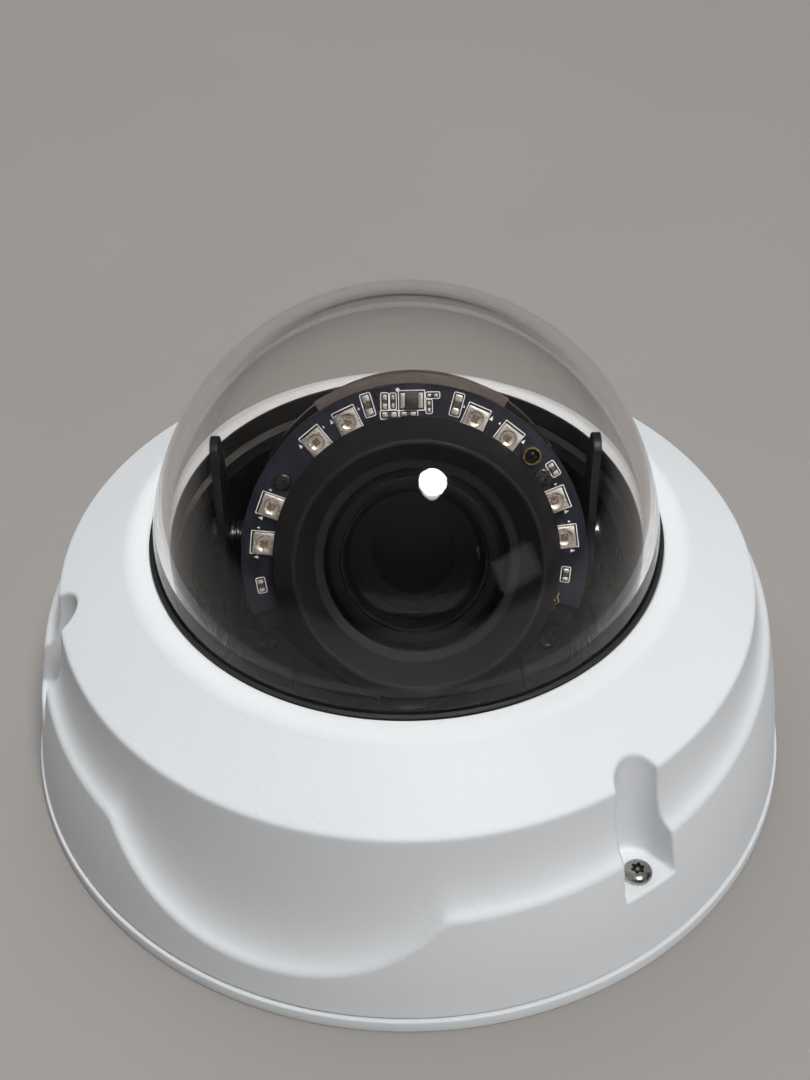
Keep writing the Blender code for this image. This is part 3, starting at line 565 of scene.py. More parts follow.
def cover_field(r, azimuth, z):
    """Negative inside the cover's metal; roughly a distance in millimetres."""
    wall = (r - WALL_CURVE(np.clip(z, 2.0, 46.0))) * WALL_SLANT
    cone = ((z - CONE_Z) + CONE_FALL * (r - CONE_R)) / CONE_SCALE
    scoop = (r - look_up(SCOOP_R, azimuth, z)) * look_up(SCOOP_SLANT, azimuth, z)
    skin = smooth_max(z - LIP_Z, cone, 1.1)
    skin = smooth_max(skin, scoop, 0.35)
    skin = smooth_max(skin, wall, 0.9)
    plan = recess_field(r, azimuth)
    channel = smooth_max(plan, RECESS_FLOOR - z, 0.9)
    solid = smooth_max(smooth_max(skin, COVER_FOOT - z, 0.6), -channel, 0.6)
    pillar = np.maximum(plan - PILLAR_WALL, PILLAR_FOOT - z)
    hollow = np.minimum(skin + SHELL, np.maximum(r - FLANGE_R, z - FLANGE_Z))
    hollow = np.minimum(np.maximum(hollow, -pillar), r - OPENING_R)
    return smooth_max(solid, -hollow, 0.9)


def crossed_cells(inside):
    """Cells with corners on both sides of the surface."""
    count = np.zeros((inside.shape[0], inside.shape[1] - 1, inside.shape[2] - 1), np.uint8)
    for block in (inside, np.roll(inside, -1, axis=0)):
        for dj in (0, 1):
            for dk in (0, 1):
                count += block[:, dj:block.shape[1] - 1 + dj, dk:block.shape[2] - 1 + dk]
    return (count > 0) & (count < 8)


def net_vertices(field, cells):
    """One vertex per crossed cell, at the mean of its edges' crossings, in cell units."""
    offsets = np.array([(i, j, k) for i in (0, 1) for j in (0, 1) for k in (0, 1)], float)
    edges = [
        (a, b) for a in range(8) for b in range(a + 1, 8)
        if np.abs(offsets[a] - offsets[b]).sum() == 1
    ]
    values = np.stack([
        field[(cells[:, 0] + int(i)) % field.shape[0], cells[:, 1] + int(j), cells[:, 2] + int(k)]
        for i, j, k in offsets
    ], axis=1)
    total = np.zeros((len(cells), 3))
    count = np.zeros(len(cells))
    for a, b in edges:
        va, vb = values[:, a], values[:, b]
        cross = (va < 0) != (vb < 0)
        t = np.where(cross, va / np.where(cross, va - vb, 1.0), 0.0)
        spot = offsets[a] + t[:, None] * (offsets[b] - offsets[a])
        total += np.where(cross[:, None], spot, 0.0)
        count += cross
    return cells + total / count[:, None]


def net_quads(inside, crossed, cells):
    """One quad round each grid edge that crosses the surface."""
    number = np.full(crossed.shape, -1, int)
    number[tuple(cells.T)] = np.arange(len(cells))
    quads = []
    for axis, (p, q) in enumerate(((1, 2), (2, 0), (0, 1))):
        change = inside != np.roll(inside, -1, axis=axis)
        if axis > 0:
            last = [slice(None)] * 3
            last[axis] = -1
            change[tuple(last)] = False
        spots = np.argwhere(change)
        corners = []
        for dp, dq in ((-1, -1), (0, -1), (0, 0), (-1, 0)):
            cell = spots.copy()
            cell[:, p] += dp
            cell[:, q] += dq
            cell[:, 0] %= crossed.shape[0]
            bad = (cell < 0).any(1) | (cell >= crossed.shape).any(1)
            cell[bad] = 0
            found = number[tuple(cell.T)]
            found[bad] = -1
            corners.append(found)
        quad = np.stack(corners, axis=1)
        flip = ~inside[tuple(spots.T)]
        quad[flip] = quad[flip][:, ::-1]
        quads.append(quad[(quad >= 0).all(1)])
    return np.concatenate(quads)


def mesh_cover():
    """Surface net of the field in polar cells, drawn onto the exact surface."""
    r_axis = np.arange(49.6, 80.6, COVER_CELL)
    z_axis = np.arange(2.5, 56.6, COVER_CELL)
    az_axis = np.arange(COVER_AZ_STEPS) * 360.0 / COVER_AZ_STEPS
    field = np.empty((COVER_AZ_STEPS, r_axis.size, z_axis.size))
    for i in range(0, COVER_AZ_STEPS, 60):
        a = az_axis[i:i + 60]
        field[i:i + 60] = cover_field(*np.broadcast_arrays(
            r_axis[None, :, None], a[:, None, None], z_axis[None, None, :]))
    inside = field < 0
    crossed = crossed_cells(inside)
    cells = np.argwhere(crossed)
    grid = net_vertices(field, cells)
    quads = net_quads(inside, crossed, cells)
    azimuth = np.radians(grid[:, 0] * 360.0 / COVER_AZ_STEPS)
    radius = r_axis[0] + grid[:, 1] * COVER_CELL
    height = z_axis[0] + grid[:, 2] * COVER_CELL
    points = np.stack([radius * np.sin(azimuth), -radius * np.cos(azimuth), height], axis=1)
    points, normals = settle(points)
    a, b, c = (points[quads[:, k]] for k in range(3))
    facing = (np.cross(b - a, c - b) * normals[quads[:, 0]]).sum(1)
    if np.median(facing) < 0:
        quads = quads[:, ::-1]
    return points, normals, quads


def field_at(points):
    radius = np.hypot(points[:, 0], points[:, 1])
    azimuth = np.degrees(np.arctan2(points[:, 0], -points[:, 1]))
    return cover_field(radius, azimuth, points[:, 2])


def settle(points, rounds=3, reach=0.02):
    """Newton steps onto the field's zero surface, and the unit normals there."""
    for turn in range(rounds + 1):
        slope = np.stack([
            (field_at(points + reach * axis) - field_at(points - reach * axis)) / (2 * reach)
            for axis in np.eye(3)
        ], axis=1)
        size = np.maximum((slope ** 2).sum(1), 0.05)
        if turn == rounds:
            return points, slope / np.sqrt(size)[:, None]
        step = field_at(points)[:, None] * slope / size[:, None]
        points = points - np.clip(step, -0.25, 0.25)


def build_cover():
    points, normals, quads = mesh_cover()
    mesh = bpy.data.meshes.new("cover_shell")
    mesh.from_pydata((points * MM).tolist(), [], quads.tolist())
    mesh.update()
    mesh.shade_smooth()
    mesh.normals_split_custom_set_from_vertices(normals.tolist())
    obj = add_object("cover_shell", mesh)
    mesh.materials.append(MAT["white_shell"])
    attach(obj, "housing")
    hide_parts("top_cover")


# ---- round pieces ----
def dome_profile():
    """The bubble's two skins and the flange at its foot."""
    inner_r = DOME_R - DOME_WALL
    turns = np.radians(np.linspace(0, 90, 46))
    outer = [(DOME_R * math.sin(a), TILT_Z + DOME_R * math.cos(a)) for a in turns]
    inner = [(inner_r * math.sin(a), TILT_Z + inner_r * math.cos(a)) for a in turns[::-1]]
    outer[0] = (0.0, TILT_Z + DOME_R)
    inner[-1] = (0.0, TILT_Z + inner_r)
    foot = rounded([
        (DOME_R, 52.4, 0.0), (DOME_R, 50.6, 0.5), (56.2, 50.6), (56.2, 47.9), (inner_r, 47.9, 0.4),
        (inner_r, 52.4, 0.0),
    ], 0.3)
    return outer + foot + inner


# node, name, body, slot, frame (None: the pan axis), corner radius, (r, z) profile
ROUND = (
    ("base_seal", "seal_cord", "housing", "black_rubber", None, 0.35, [
        (78.4, 3.1), (78.4, 1.9), (77.2, 1.9), (77.2, 3.1)]),
    ("dome_gasket", "gasket_ring", "housing", "black_rubber", None, 0.12, [
        (56.2, 51.9), (56.2, 50.9), (50.5, 50.9), (50.42, 55.9), (51.2, 55.8), (51.2, 55.4),
        (50.9, 55.3), (50.9, 51.9)]),
    ("dome_clamp_ring", "clamp_ring", "housing", "dark_steel", None, 0.3, [
        (61.0, 47.6), (61.0, 45.6), (51.5, 45.6), (51.5, 47.6)]),
    ("inner_liner", "liner_sleeve", "housing", "black_plastic", None, 0.35, [
        (47.0, 50.8), (47.0, 49.6), (45.2, 49.6), (45.2, 45.3), (54.5, 45.3), (54.5, 43.9),
        (45.2, 43.9), (45.2, 20.0), (43.7, 20.0), (43.7, 50.8)]),
    ("cable_grommet", "grommet", "housing", "black_rubber", None, 0.3, [
        (13.0, 5.0), (13.6, 4.6), (13.6, 3.1), (10.7, 3.1), (10.7, 0.5), (6.0, 0.5),
        (4.0, 2.4), (4.0, 3.6), (6.2, 5.0)]),
    ("pan_base", "pan_bearing", "housing", "frame_plastic", None, 0.4, [
        (40.0, 13.0), (40.0, 3.1), (26.0, 3.1), (26.0, 5.1), (36.0, 5.1), (36.0, 11.0),
        (33.0, 11.0), (33.0, 13.0)]),
    ("pan_platform", "turntable", "pan", "frame_plastic", None, 0.5, [
        (41.5, 16.3), (41.5, 13.3), (32.6, 13.3), (32.6, 11.0), (13.0, 11.0), (13.0, 16.3)]),
    ("pan_retainer_ring", "turntable_keeper", "pan", "black_plastic", None, 0.3, [
        (35.6, 10.7), (35.6, 9.0), (20.0, 9.0), (20.0, 10.7)]),
    ("roll_retaining_ring", "cradle_keeper", "tilt", "black_plastic", TILT_FRAME, 0.3, [
        (32.5, 5.5), (32.5, 4.3), (28.6, 4.3), (28.6, 5.5)]),
    ("roll_carrier", "lens_carrier", "camera", "frame_plastic", LENS_FRAME, 0.4, [
        (30.2, 4.0), (30.2, -2.3), (13.2, -2.3), (13.2, 4.0)]),
    ("lens_barrel", "barrel", "camera", "lens_black", LENS_FRAME, 0.35, [
        (13.5, 29.3, 0.5), (15.4, 29.3, 0.5), (16.4, 28.3), (16.4, 20.4), (12.5, 20.4), (12.5, 14.4),
        (15.4, 14.4), (15.4, 12.4), (12.5, 12.4), (12.5, -11.5), (10.5, -11.5), (10.5, 16.0),
        (11.4, 16.0), (11.4, 23.0), (13.5, 23.0)]),
    ("zoom_ring", "zoom_band", "zoom", "black_plastic", LENS_FRAME, 0.3, [
        (15.4, 12.1), (15.4, 6.6), (12.8, 6.6), (12.8, 12.1)]),
    ("focus_ring", "focus_band", "focus", "black_plastic", LENS_FRAME, 0.3, [
        (15.4, 19.8), (15.4, 14.7), (12.8, 14.7), (12.8, 19.8)]),
    ("ir_shroud", "light_shroud", "camera", "black_rubber", LENS_FRAME, 0.35, [
        (22.9, 35.0, 0.45), (24.3, 32.2, 3.0), (26.4, 28.0, 0.8), (25.3, 25.4, 0.8), (25.3, 21.0),
        (24.2, 21.0), (24.2, 24.6),
        (17.0, 28.0, 0.15), (17.0, 29.3, 0.4), (18.8, 29.5, 0.5), (22.1, 35.0, 0.45)]),
)


def build_round_pieces():
    finishes = {"ir_shroud": SHROUD_RUBBER, "lens_barrel": BEZEL_METAL}
    for node, name, body, slot, place, corner, profile in ROUND:
        bm = bmesh.new()
        spin(bm, rounded(profile, corner), ROUND_STEPS, place or IDENTITY)
        if node == "ir_shroud":
            lean(bm, LENS_FRAME, 25.4, 35.0, 0.8)
        obj = make_piece(name, bm, body, slot, finishes.get(node), (node,))
        if node == "roll_carrier":
            for angle in POST_ANGLES:
                post = on_lens(25.8, angle, 0.0)
                carve(obj, lambda b: spin(b, rounded(rod(2.0, 2.0, 20.2), 0.2), 32, post), "UNION")
        if node in LEVERS:
            lever = on_lens(0.0, *LEVERS[node]) @ SIDEWAYS
            carve(obj, lambda b: spin(b, rounded(rod(1.4, 14.4, 19.4), 0.35), 28, lever), "UNION")
    turned("bubble", dome_profile(), "housing", "clear_dome", None, ("dome_bubble",),
           steps=RIM_STEPS, sharp=SHARP_ROUND)


def build_base():
    profile = [
        (75.3, 6.0), (75.3, 2.8), (76.9, 2.8), (76.9, 1.6), (78.7, 1.6), (78.7, 3.08), (79.85, 3.08, 0.5),
        (80.0, 0.0, 0.6), (11.0, 0.0), (11.0, 2.8), (70.5, 2.8), (70.5, 6.0),
    ]
    base = turned("base_plate", rounded(profile, 0.25), "housing", "white_base", None,
                  ("mounting_base",), steps=RIM_STEPS)
    for azimuth in FIX_AZ:
        carve(base, lambda b: spin(b, rod(FIX_HOLE_R, -1.0, 5.0), 40, polar(FIX_R, azimuth)))


# ---- screws ----
def lobes(bm, size, depth_low, depth_high, place):
    """Six-lobed driver socket."""
    outline = []
    for i in range(60):
        a = 2.0 * math.pi * i / 60
        r = size * (1.0 + 0.2 * math.cos(6 * a))
        outline.append((r * math.cos(a), r * math.sin(a)))
    prism(bm, outline, depth_low, depth_high, place)


def cross_slot(bm, reach, width, low, high, place):
    """Cross-shaped driver slot."""
    outline = [
        (reach, -width), (reach, width), (width, width), (width, reach), (-width, reach),
        (-width, width), (-reach, width), (-reach, -width), (-width, -width), (-width, -reach),
        (width, -reach), (width, -width),
    ]
    prism(bm, outline, low, high, place)


def build_cover_screws():
    """Button heads with a pin in a six-lobed socket."""
    turns = np.radians((22, 38, 52, 64, 74, 83))
    head = [(0.0, 1.7)] + [(2.85 * math.sin(a) ** 0.85, 0.35 + 1.35 * math.cos(a)) for a in turns]
    head += [(2.85, 0.32), (2.85, 0.06), (2.74, -0.24), (1.5, -0.24), (1.5, -19.2), (0.0, -19.2)]
    pin = [(0.0, 1.36), (0.34, 1.34), (0.46, 1.22), (0.46, 0.5), (0.0, 0.5)]
    for i, azimuth in enumerate(SCREW_AZ):
        place = polar(SCREW_SEAT_R, azimuth, SCREW_SEAT_Z)
        twist = place @ Matrix.Rotation(math.radians(11.0 + 23.0 * i), 4, "Z")
        screw = turned(f"button_screw_{i + 1}", head, "housing", "screw_steel", None,
                       (f"cover_screw_{i + 1}",), place, 64, SHARP_ROUND)
        carve(screw, lambda b: spin(b, rod(1.6, 3.0, 1.52), 48, place))
        carve(screw, lambda b: lobes(b, 1.16, -1.0, 3.0, twist))
        # a near-black lobed plug sits in each socket: painted shade in the recess
        bm = bmesh.new()
        lobes(bm, 1.15, -0.9, 0.70, twist)
        make_piece(f"socket_shade_{i + 1}", bm, "housing", "dark_steel", SOCKET_SHADE)
        turned(f"socket_pin_{i + 1}", pin, "housing", "screw_steel", place=place, steps=24)


def small_screw(name, node, body, slot, head_r, head_h, shank_r, length, place):
    """Cheese head with a cross slot, on a plain shank."""
    profile = rounded([
        (0.0, head_h), (head_r, head_h, head_h * 0.6), (head_r, 0.0, 0.1), (shank_r, 0.0, 0.0),
        (shank_r, -length, 0.2), (0.0, -length)], 0.1, 4)
    screw = turned(name, profile, body, slot, None, (node,), place, 36, SHARP_ROUND)
    twist = place @ Matrix.Rotation(0.6, 4, "Z")
    carve(screw, lambda b: cross_slot(b, head_r * 0.5, head_r * 0.13, head_h * 0.45, head_h * 2.0, twist))


def build_small_screws():
    upside = Matrix.Rotation(math.pi, 4, "X")
    for i, azimuth in enumerate(CLAMP_AZ):
        small_screw(f"clamp_bolt_{i + 1}", f"clamp_screw_{i + 1}", "housing", "dark_steel",
                    1.8, 1.2, 0.9, 5.2, polar(58.9, azimuth, 45.3) @ upside)
    for i, azimuth in enumerate(BOARD_SCREW_AZ):
        small_screw(f"board_bolt_{i + 1}", f"board_screw_{i + 1}", "housing", "screw_steel",
                    2.2, 1.3, 1.0, 6.0, polar(54.5, azimuth, 8.7))
    for i, azimuth in enumerate(PAN_SCREW_AZ):
        small_screw(f"pan_bolt_{i + 1}", f"pan_base_screw_{i + 1}", "housing", "screw_steel",
                    2.4, 1.4, 1.2, 4.2, polar(31.0, azimuth, 5.4))
    for side, label in ((1.0, "right"), (-1.0, "left")):
        place = at(side * 30.5, 3.0, 19.1)
        small_screw(f"bracket_bolt_{label}", f"bracket_screw_{label}", "pan", "dark_steel",
                    2.2, 1.3, 1.0, 7.0, place)
        length = 3.8 if side > 0 else 6.6
        place = at(side * 37.2, 0.0, TILT_Z) @ Matrix.Rotation(side * math.pi / 2, 4, "Y")
        small_screw(f"pivot_bolt_{label}", f"pivot_screw_{label}", "tilt", "dark_steel",
                    3.5, 1.8, 1.5, length, place)
    for i, angle in enumerate((POST_ANGLES[0], POST_ANGLES[-1])):
        small_screw(f"led_board_bolt_{i + 1}", f"led_board_screw_{i + 1}", "camera", "dark_steel",
                    1.5, 0.8, 0.7, 3.0, on_lens(LED_RING_R, angle, 25.3))


# ---- gimbal ----
def build_brackets():
    """Tapered uprights with a rounded crown and an inward foot, drilled for their screws."""
    outline = rounded([(12.0, PLATFORM_TOP), (12.0, 30.0), (8.5, 52.0)], 1.2)
    outline += arc(3.0, 8.0, 172.0, 16, 0.0, 75.7)
    outline += rounded([(-8.5, 52.0), (-12.0, 30.0), (-12.0, PLATFORM_TOP)], 1.2)
    upright = Matrix(((0, 0, 1, 0), (1, 0, 0, 0), (0, 1, 0, 0), (0, 0, 0, 1)))
    pivot = at(0.0, 0.0, TILT_Z) @ SIDEWAYS
    for side, label in ((1.0, "right"), (-1.0, "left")):
        inner, outer = sorted((side * 35.4, side * 36.9))
        ear = slab(f"bracket_{label}", outline, inner, outer, upright, "pan", "frame_plastic", None,
                   (f"tilt_bracket_{label}",), 0.3, 3)
        foot = at(side * 30.8, 0.0, PLATFORM_TOP)
        carve(ear, lambda b: prism(b, rectangle(12.0, 16.0, 1.0), 0.0, 2.2, foot, 0.3), "UNION")
        low, high = sorted((side * 33.0, side * 41.0))
        carve(ear, lambda b: spin(b, rod(1.95, low, high), 32, pivot))
        drill = at(side * 30.5, 3.0, 0.0)
        carve(ear, lambda b: spin(b, rod(1.3, 12.0, 24.0), 24, drill))


def build_cradle():
    """Ring with a flat boss at the right pivot, and the ribbed spacer at the left one."""
    ring = [(32.5, 4.0), (32.5, -4.0), (28.6, -4.0), (28.6, -2.6), (30.5, -2.6), (30.5, 4.0)]
    cradle = turned("cradle_ring", rounded(ring, 0.4), "tilt", "frame_plastic", None,
                    ("tilt_cradle",), TILT_FRAME)
    across = TILT_FRAME @ SIDEWAYS
    carve(cradle, lambda b: spin(b, rounded(rod(3.6, 32.0, 33.7), 0.25), 40, across), "UNION")
    for low, high in ((31.2, 36.0), (-36.0, -31.2)):
        carve(cradle, lambda b: spin(b, rod(1.9, low, high), 32, across))
    spacer = TILT_FRAME @ at(-35.12, 0.0, 0.0) @ SIDEWAYS
    sleeve = [(1.8, -1.38), (1.8, 1.38)]
    for z, r in ((1.38, 3.2), (0.95, 3.2), (0.8, 2.8), (0.55, 2.8), (0.4, 3.2), (-0.05, 3.2),
                 (-0.2, 2.8), (-0.45, 2.8), (-0.6, 3.2), (-1.38, 3.2)):
        sleeve.append((r, z))
    turned("ribbed_spacer", rounded(sleeve, 0.12, 2), "tilt", "dark_steel", None,
           ("pivot_spacer_left",), spacer, 48, 50.0)


# ---- lens module ----
INK = 0.03
SOLDER_LIFT = 0.01


def horseshoe(inner, outer, start, end, count):
    """Outline of part of a flat ring."""
    return arc(outer, start, end, count) + arc(inner, end, start, count)


def build_boards():
    slab("led_board_plate", horseshoe(25.8, 31.9, -19.0, 199.0, 90), 23.8, BOARD_TOP, LENS_FRAME,
         "camera", "board_black", None, ("led_board",), 0.12)
    slab("led_tray", horseshoe(25.8, 31.4, -27.0, 207.0, 100), 20.5, 23.5, LENS_FRAME,
         "camera", "black_plastic", None, ("led_holder",), 0.3, 3)
    slab("led_tray_tab", horseshoe(31.2, 33.6, 58.0, 122.0, 40), 20.6, 23.6, LENS_FRAME,
         "camera", "black_plastic", TRAY, (), 0.3, 3)
    slab("sensor_card", rectangle(38.0, 38.0, 1.5), -16.0, -14.4, LENS_FRAME,
         "camera", "board_green", None, ("sensor_board",), 0.12)
    outer = rectangle(28.0, 28.0, 2.5, 11)
    turns = [math.atan2(y, x) for x, y in outer]
    hole = [(12.8 * math.cos(a), 12.8 * math.sin(a)) for a in turns]
    bm = bmesh.new()
    ring_prism(bm, outer, hole, -14.1, -2.6, LENS_FRAME)
    make_piece("lens_seat", bm, "camera", "black_plastic", None, ("lens_mount",))


def lens_face(radius, middle, sag, count):
    """(r, z) points of a curved face, from its middle to its edge."""
    return [(radius * i / count, middle - sag * (i / count) ** 2) for i in range(count + 1)]


def build_front_glass():
    """Stepped baffle behind the front glass, and a dark inner element."""
    baffle = [
        (13.45, 28.2), (13.45, 23.1), (11.3, 23.1), (11.3, 16.0), (7.0, 16.0), (7.0, 19.6), (8.3, 19.6),
        (8.3, 20.8), (9.8, 20.8), (9.8, 22.0), (11.3, 22.0), (11.3, 23.3), (13.1, 25.2), (13.1, 28.2),
    ]
    turned("lens_baffle", rounded(baffle, 0.12), "camera", "lens_black", BAFFLE, (), LENS_FRAME)
    front = lens_face(13.0, 29.3, 2.4, 16) + [(13.0, 25.4), (0.0, 25.4)]
    turned("front_glass", front, "camera", "lens_glass", None, ("front_lens_element",), LENS_FRAME,
           sharp=SHARP_ROUND)
    inner = lens_face(6.9, 19.2, 1.3, 10) + [(6.9, 16.5), (0.0, 16.5)]
    turned("inner_glass", inner, "camera", "lens_glass", INNER_GLASS, (), LENS_FRAME)


def build_leds():
    """Square emitters: a plated package with a round cup, a pale die and a clear round lens."""
    cup = [(0.0, 0.5), (1.05, 0.5), (1.62, 1.1), (1.62, 2.0), (0.0, 2.0)]
    lens = [(0.0, 2.1)]
    lens += [(1.46 * math.sin(a), 0.72 + 1.38 * math.cos(a)) for a in np.radians(range(12, 85, 12))]
    lens += [(1.46, 0.6), (1.4, 0.56), (0.0, 0.7)]
    for i, (angle, _) in enumerate(LED_PLACES):
        place = on_lens(LED_RING_R, angle, BOARD_TOP + 0.02)
        package = slab(f"emitter_{i + 1}", rectangle(3.9, 3.9, 0.2), 0.0, 1.1, place,
                       "camera", "led_white", None, (f"ir_led_{i + 1}",), 0.1)
        carve(package, lambda b: spin(b, cup, 40, place))
        bm = bmesh.new()
        prism(bm, rectangle(0.8, 0.8), 0.56, 0.68, place)
        prism(bm, [(-0.05, 0.3), (0.05, 0.3), (0.05, 1.2), (-0.05, 1.2)], 0.7, 0.78, place)
        make_piece(f"emitter_die_{i + 1}", bm, "camera", "led_white", DIE)
        turned(f"emitter_lens_{i + 1}", lens, "camera", "led_white", EMITTER_LENS, (), place, 40,
               SHARP_ROUND)


def on_board(x, y, turn=0.0):
    """A place on the emitter board, by x and y."""
    return LENS_FRAME @ at(x, y, 0.0) @ Matrix.Rotation(math.radians(turn), 4, "Z")


def two_terminal(ink, body, ends, place, wide, tall, height=0.55, middle=0.42):
    """A printed frame round a small part whose plated ends face up and down."""
    top = BOARD_TOP + SOLDER_LIFT
    frame_mark(ink, wide + 0.85, tall + 0.85, 0.16, top, place, 0.42)
    prism(body, rectangle(wide * 0.92, tall * (middle + 0.1)), top, top + height, place, 0.04)
    reach = tall * (1.0 - middle) / 2.0
    for end in (-1.0, 1.0):
        shift = place @ at(0.0, end * (tall - reach) / 2.0, 0.0)
        prism(ends, rectangle(wide, reach, min(0.15, reach * 0.3)), top, top + height + 0.05, shift, 0.06)


def build_board_details():
    """Printed frames and small parts on the emitter board."""
    ink, body, ends = bmesh.new(), bmesh.new(), bmesh.new()
    top = BOARD_TOP + SOLDER_LIFT
    for angle, mirror in LED_PLACES:
        frame_mark(ink, 4.65, 4.45, 0.15, top, on_lens(LED_RING_R + 0.15, angle, 0.0), 0.15)
        for side, size in ((-1.0, 0.42), (1.0, 0.26)):
            mark = on_lens(LED_RING_R + 1.4, angle + side * mirror * 5.4, 0.0)
            prism(ink, [(-size, -size * 0.8), (size, 0.0), (-size, size * 0.8)], top, top + INK, mark)
    for radius, angle in ((30.1, 31.6), (28.75, 189.6), (28.1, -8.0)):
        two_terminal(ink, body, ends, on_lens(radius, angle, 0.0), 0.95, 2.2)
    for x, y, turn in ((8.29, 27.9, -16.0), (-7.9, 28.14, 15.5)):
        two_terminal(ink, body, ends, on_board(x, y, turn), 1.25, 3.6, 0.6, 0.36)
    for x, y, wide, tall, turn in (
            (-4.79, 28.71, 0.75, 2.5, 0.0), (-3.3, 28.75, 0.5, 2.3, 0.0), (-4.0, 26.35, 0.9, 2.6, 90.0),
            (-0.5, 26.45, 0.6, 2.6, 90.0), (3.91, 29.7, 0.5, 1.9, 90.0), (3.24, 27.7, 0.5, 1.9, 0.0)):
        two_terminal(ink, body, ends, on_board(x, y, turn), wide, tall, 0.35, 0.3)
    chip = on_board(0.09, 28.85)
    frame_mark(ink, 4.9, 3.75, 0.17, top, chip, 0.1)
    prism(ink, arc(0.36, 0.0, 345.0, 16, -2.5, 1.95), top, top + INK, chip)
    for end in (-1.0, 1.0):
        shift = chip @ at(end * 1.62, 0.0, 0.0)
        prism(ends, rectangle(0.85, 2.7, 0.12), top, top + 0.55, shift, 0.08)
    make_piece("board_marks", ink, "camera", "board_black", SILKSCREEN)
    make_piece("board_parts", body, "camera", "chip_black", CERAMIC)
    make_piece("board_terminals", ends, "camera", "socket_metal", SOLDER)
    slab("driver_package", rectangle(2.35, 3.1, 0.1), top, 26.15, chip, "camera", "chip_black", None,
         ("led_driver_chip",), 0.1)
    sensor = on_lens(28.4, 40.0, BOARD_TOP + 0.02)
    ring = rounded([(1.7, 1.15), (1.7, 0.0), (1.3, 0.0), (1.3, 1.15)], 0.08)
    turned("sensor_ring", ring, "camera", "sensor_brass", None, ("light_sensor",), sensor, 40)
    eye = [(0.0, 0.95), (0.7, 0.85), (1.25, 0.5), (1.25, 0.0), (0.0, 0.0)]
    turned("sensor_eye", eye, "camera", "sensor_brass", INNER_GLASS, (), sensor, 36)


def build_wires():
    """Two short leads that leave the emitter board's right end, behind the shroud."""
    route = (
        (27.7, -15.6, 25.0), (27.4, -16.8, 25.9), (27.9, -18.4, 26.2), (27.3, -20.2, 25.7),
        (27.8, -21.8, 24.6), (27.2, -23.6, 22.6), (27.4, -25.0, 18.5))
    for i, inset in enumerate((0.0, 0.7)):
        name = f"led_lead_{i + 1}"
        curve = bpy.data.curves.new(name, "CURVE")
        curve.dimensions = "3D"
        curve.bevel_depth = 0.14 * MM
        curve.bevel_resolution = 3
        curve.use_fill_caps = True
        spline = curve.splines.new("POLY")
        spline.points.add(len(route) - 1)
        for spot, (r, angle, z) in zip(spline.points, route):
            spot.co = (*on_lens(r - inset, angle, z).translation, 1.0)
        obj = add_object(name, curve)
        bpy.context.view_layer.update()
        mesh = bpy.data.meshes.new_from_object(obj.evaluated_get(bpy.context.evaluated_depsgraph_get()))
        bpy.data.objects.remove(obj)
        bpy.data.curves.remove(curve)
        bm = bmesh.new()
        bm.from_mesh(mesh)
        bpy.data.meshes.remove(mesh)
        make_piece(name, bm, "camera", "board_black", WIRE)


# ---- CAD nodes kept as they are, with better surfaces ----
KEPT = {
    "main_board": "board_green", "network_socket": "socket_metal", "card_slot": "socket_metal",
    "reset_switch": "chip_black", "reset_button": "button_red",
}


def dress_kept_nodes():
    for node, slot in KEPT.items():
        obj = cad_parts[node]
        if not obj.material_slots:
            obj.data.materials.append(MAT[slot])
        for place in obj.material_slots:
            place.material = MAT[slot]
        bevel = obj.modifiers.new("soft_edges", "BEVEL")
        bevel.width = 0.2 * MM
        bevel.segments = 2
        bevel.limit_method = "ANGLE"
        bevel.angle_limit = math.radians(40.0)


# ---- camera, floor and light, in metres ----
CAMERA_PLACE = (0.0, -0.27024, 0.29680)
CAMERA_FORWARD = (-0.00082, 0.74183, -0.67059)
CAMERA_ROLL = -0.62
FOCAL_LENGTH, SENSOR_WIDTH = 60.38, 36.0
# name, shape, place, height aimed at, width, height, watts, colour, seen in reflections
SOFTBOXES = (
    ("ceiling_lamp", "DISK", (0.357, -0.803, 1.682), 0.06, 0.38, 0.38, 21.0, (1.0, 0.995, 0.985), True),
    ("side_window", "RECTANGLE", (1.25, -1.05, 0.45), 0.06, 0.55, 0.42, 0.42, (0.88, 0.90, 1.0), True),
    ("ceiling_wash", "RECTANGLE", (-0.25, 0.60, 1.30), 0.03, 1.5, 1.5, 13.0, (0.98, 0.995, 1.0), False),
    ("side_wash", "RECTANGLE", (1.20, -0.95, 0.50), 0.03, 1.0, 1.0, 2.6, (0.93, 0.95, 1.0), False),
)


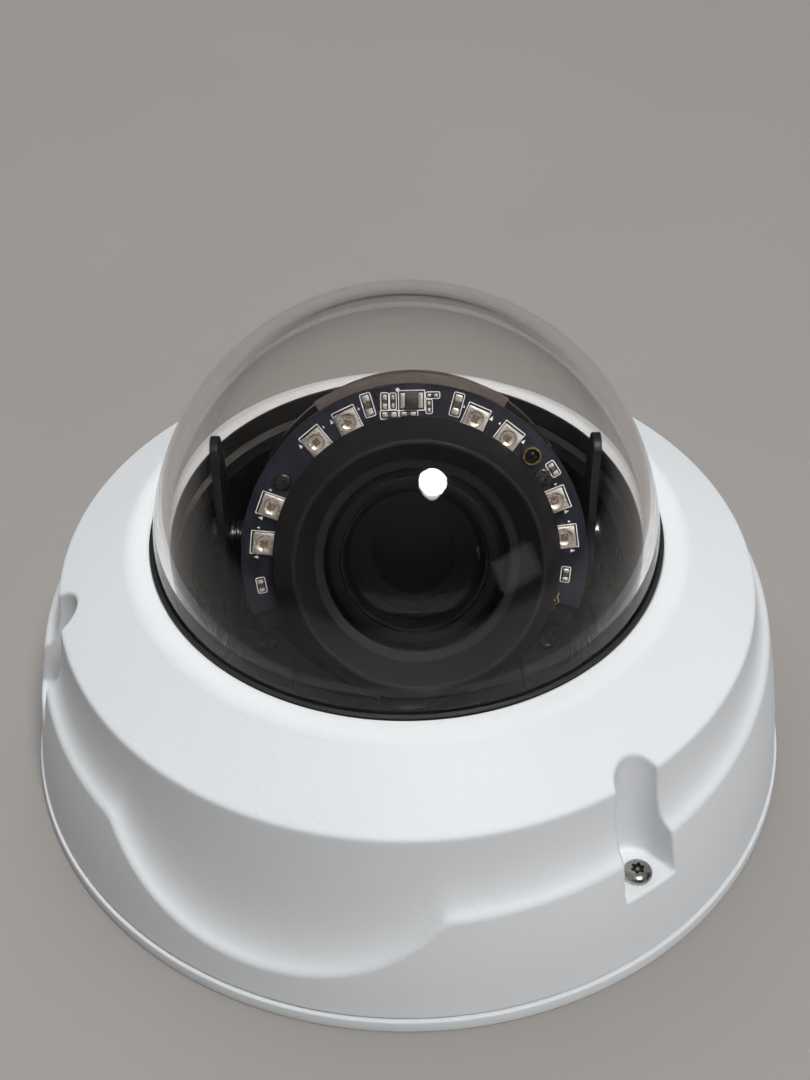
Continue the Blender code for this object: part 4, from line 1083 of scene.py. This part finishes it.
def aim(obj, place, forward, roll=0.0):
    """Puts obj at place with its -Z along forward, rolled by degrees."""
    forward = Vector(forward).normalized()
    right = forward.cross(Vector((0, 0, 1))).normalized()
    up = right.cross(forward)
    turn = math.radians(roll)
    side = right * math.cos(turn) + up * math.sin(turn)
    top = up * math.cos(turn) - right * math.sin(turn)
    matrix = Matrix((side, top, -forward)).transposed().to_4x4()
    matrix.translation = Vector(place)
    obj.matrix_world = matrix


def add_softbox(name, shape, place, aimed_z, width, height, power, color, mirrored):
    data = bpy.data.lights.new(name, "AREA")
    data.shape = shape
    data.size = width
    data.size_y = height
    data.energy = power
    data.color = color
    obj = add_object(name, data)
    aim(obj, place, Vector((0.0, 0.0, aimed_z)) - Vector(place))
    obj.visible_glossy = mirrored
    obj.visible_transmission = mirrored


def build_camera():
    data = bpy.data.cameras.new("photo_view")
    data.sensor_width = SENSOR_WIDTH
    data.lens = FOCAL_LENGTH
    data.clip_start = 0.01
    camera = add_object("photo_view", data)
    aim(camera, CAMERA_PLACE, CAMERA_FORWARD, CAMERA_ROLL)
    bpy.context.scene.camera = camera


def build_stage():
    """Plain floor, soft lamps and a faint sky."""
    bm = bmesh.new()
    bmesh.ops.create_grid(bm, x_segments=2, y_segments=2, size=3.0)
    mesh = bpy.data.meshes.new("floor")
    bm.to_mesh(mesh)
    bm.free()
    floor = add_object("floor", mesh)
    mesh.materials.append(finish_material(
        "floor_paint", (0.33, 0.31, 0.295), 0.75, vary=0.03, patch=6.0, bumps=((400.0, 0.1, 0.1, 2.0),)))
    build_world()
    for softbox in SOFTBOXES:
        add_softbox(*softbox)


def build_world():
    """Soft light from the ceiling that fades toward the horizon."""
    world = bpy.data.worlds.new("studio")
    world.use_nodes = True
    tree = world.node_tree
    coord = tree.nodes.new("ShaderNodeTexCoord")
    split = tree.nodes.new("ShaderNodeSeparateXYZ")
    tree.links.new(coord.outputs["Generated"], split.inputs[0])
    color = tint(tree, split.outputs[2], (0.03, 0.03, 0.032), (0.12, 0.122, 0.125), 0.35, 0.95)
    tree.links.new(color, tree.nodes["Background"].inputs[0])
    bpy.context.scene.world = world
    bpy.context.scene.view_settings.view_transform = "Standard"


build_cover()
build_base()
build_round_pieces()
build_cover_screws()
build_small_screws()
build_brackets()
build_cradle()
build_boards()
build_front_glass()
build_leds()
build_board_details()
build_wires()
dress_kept_nodes()
build_camera()
build_stage()
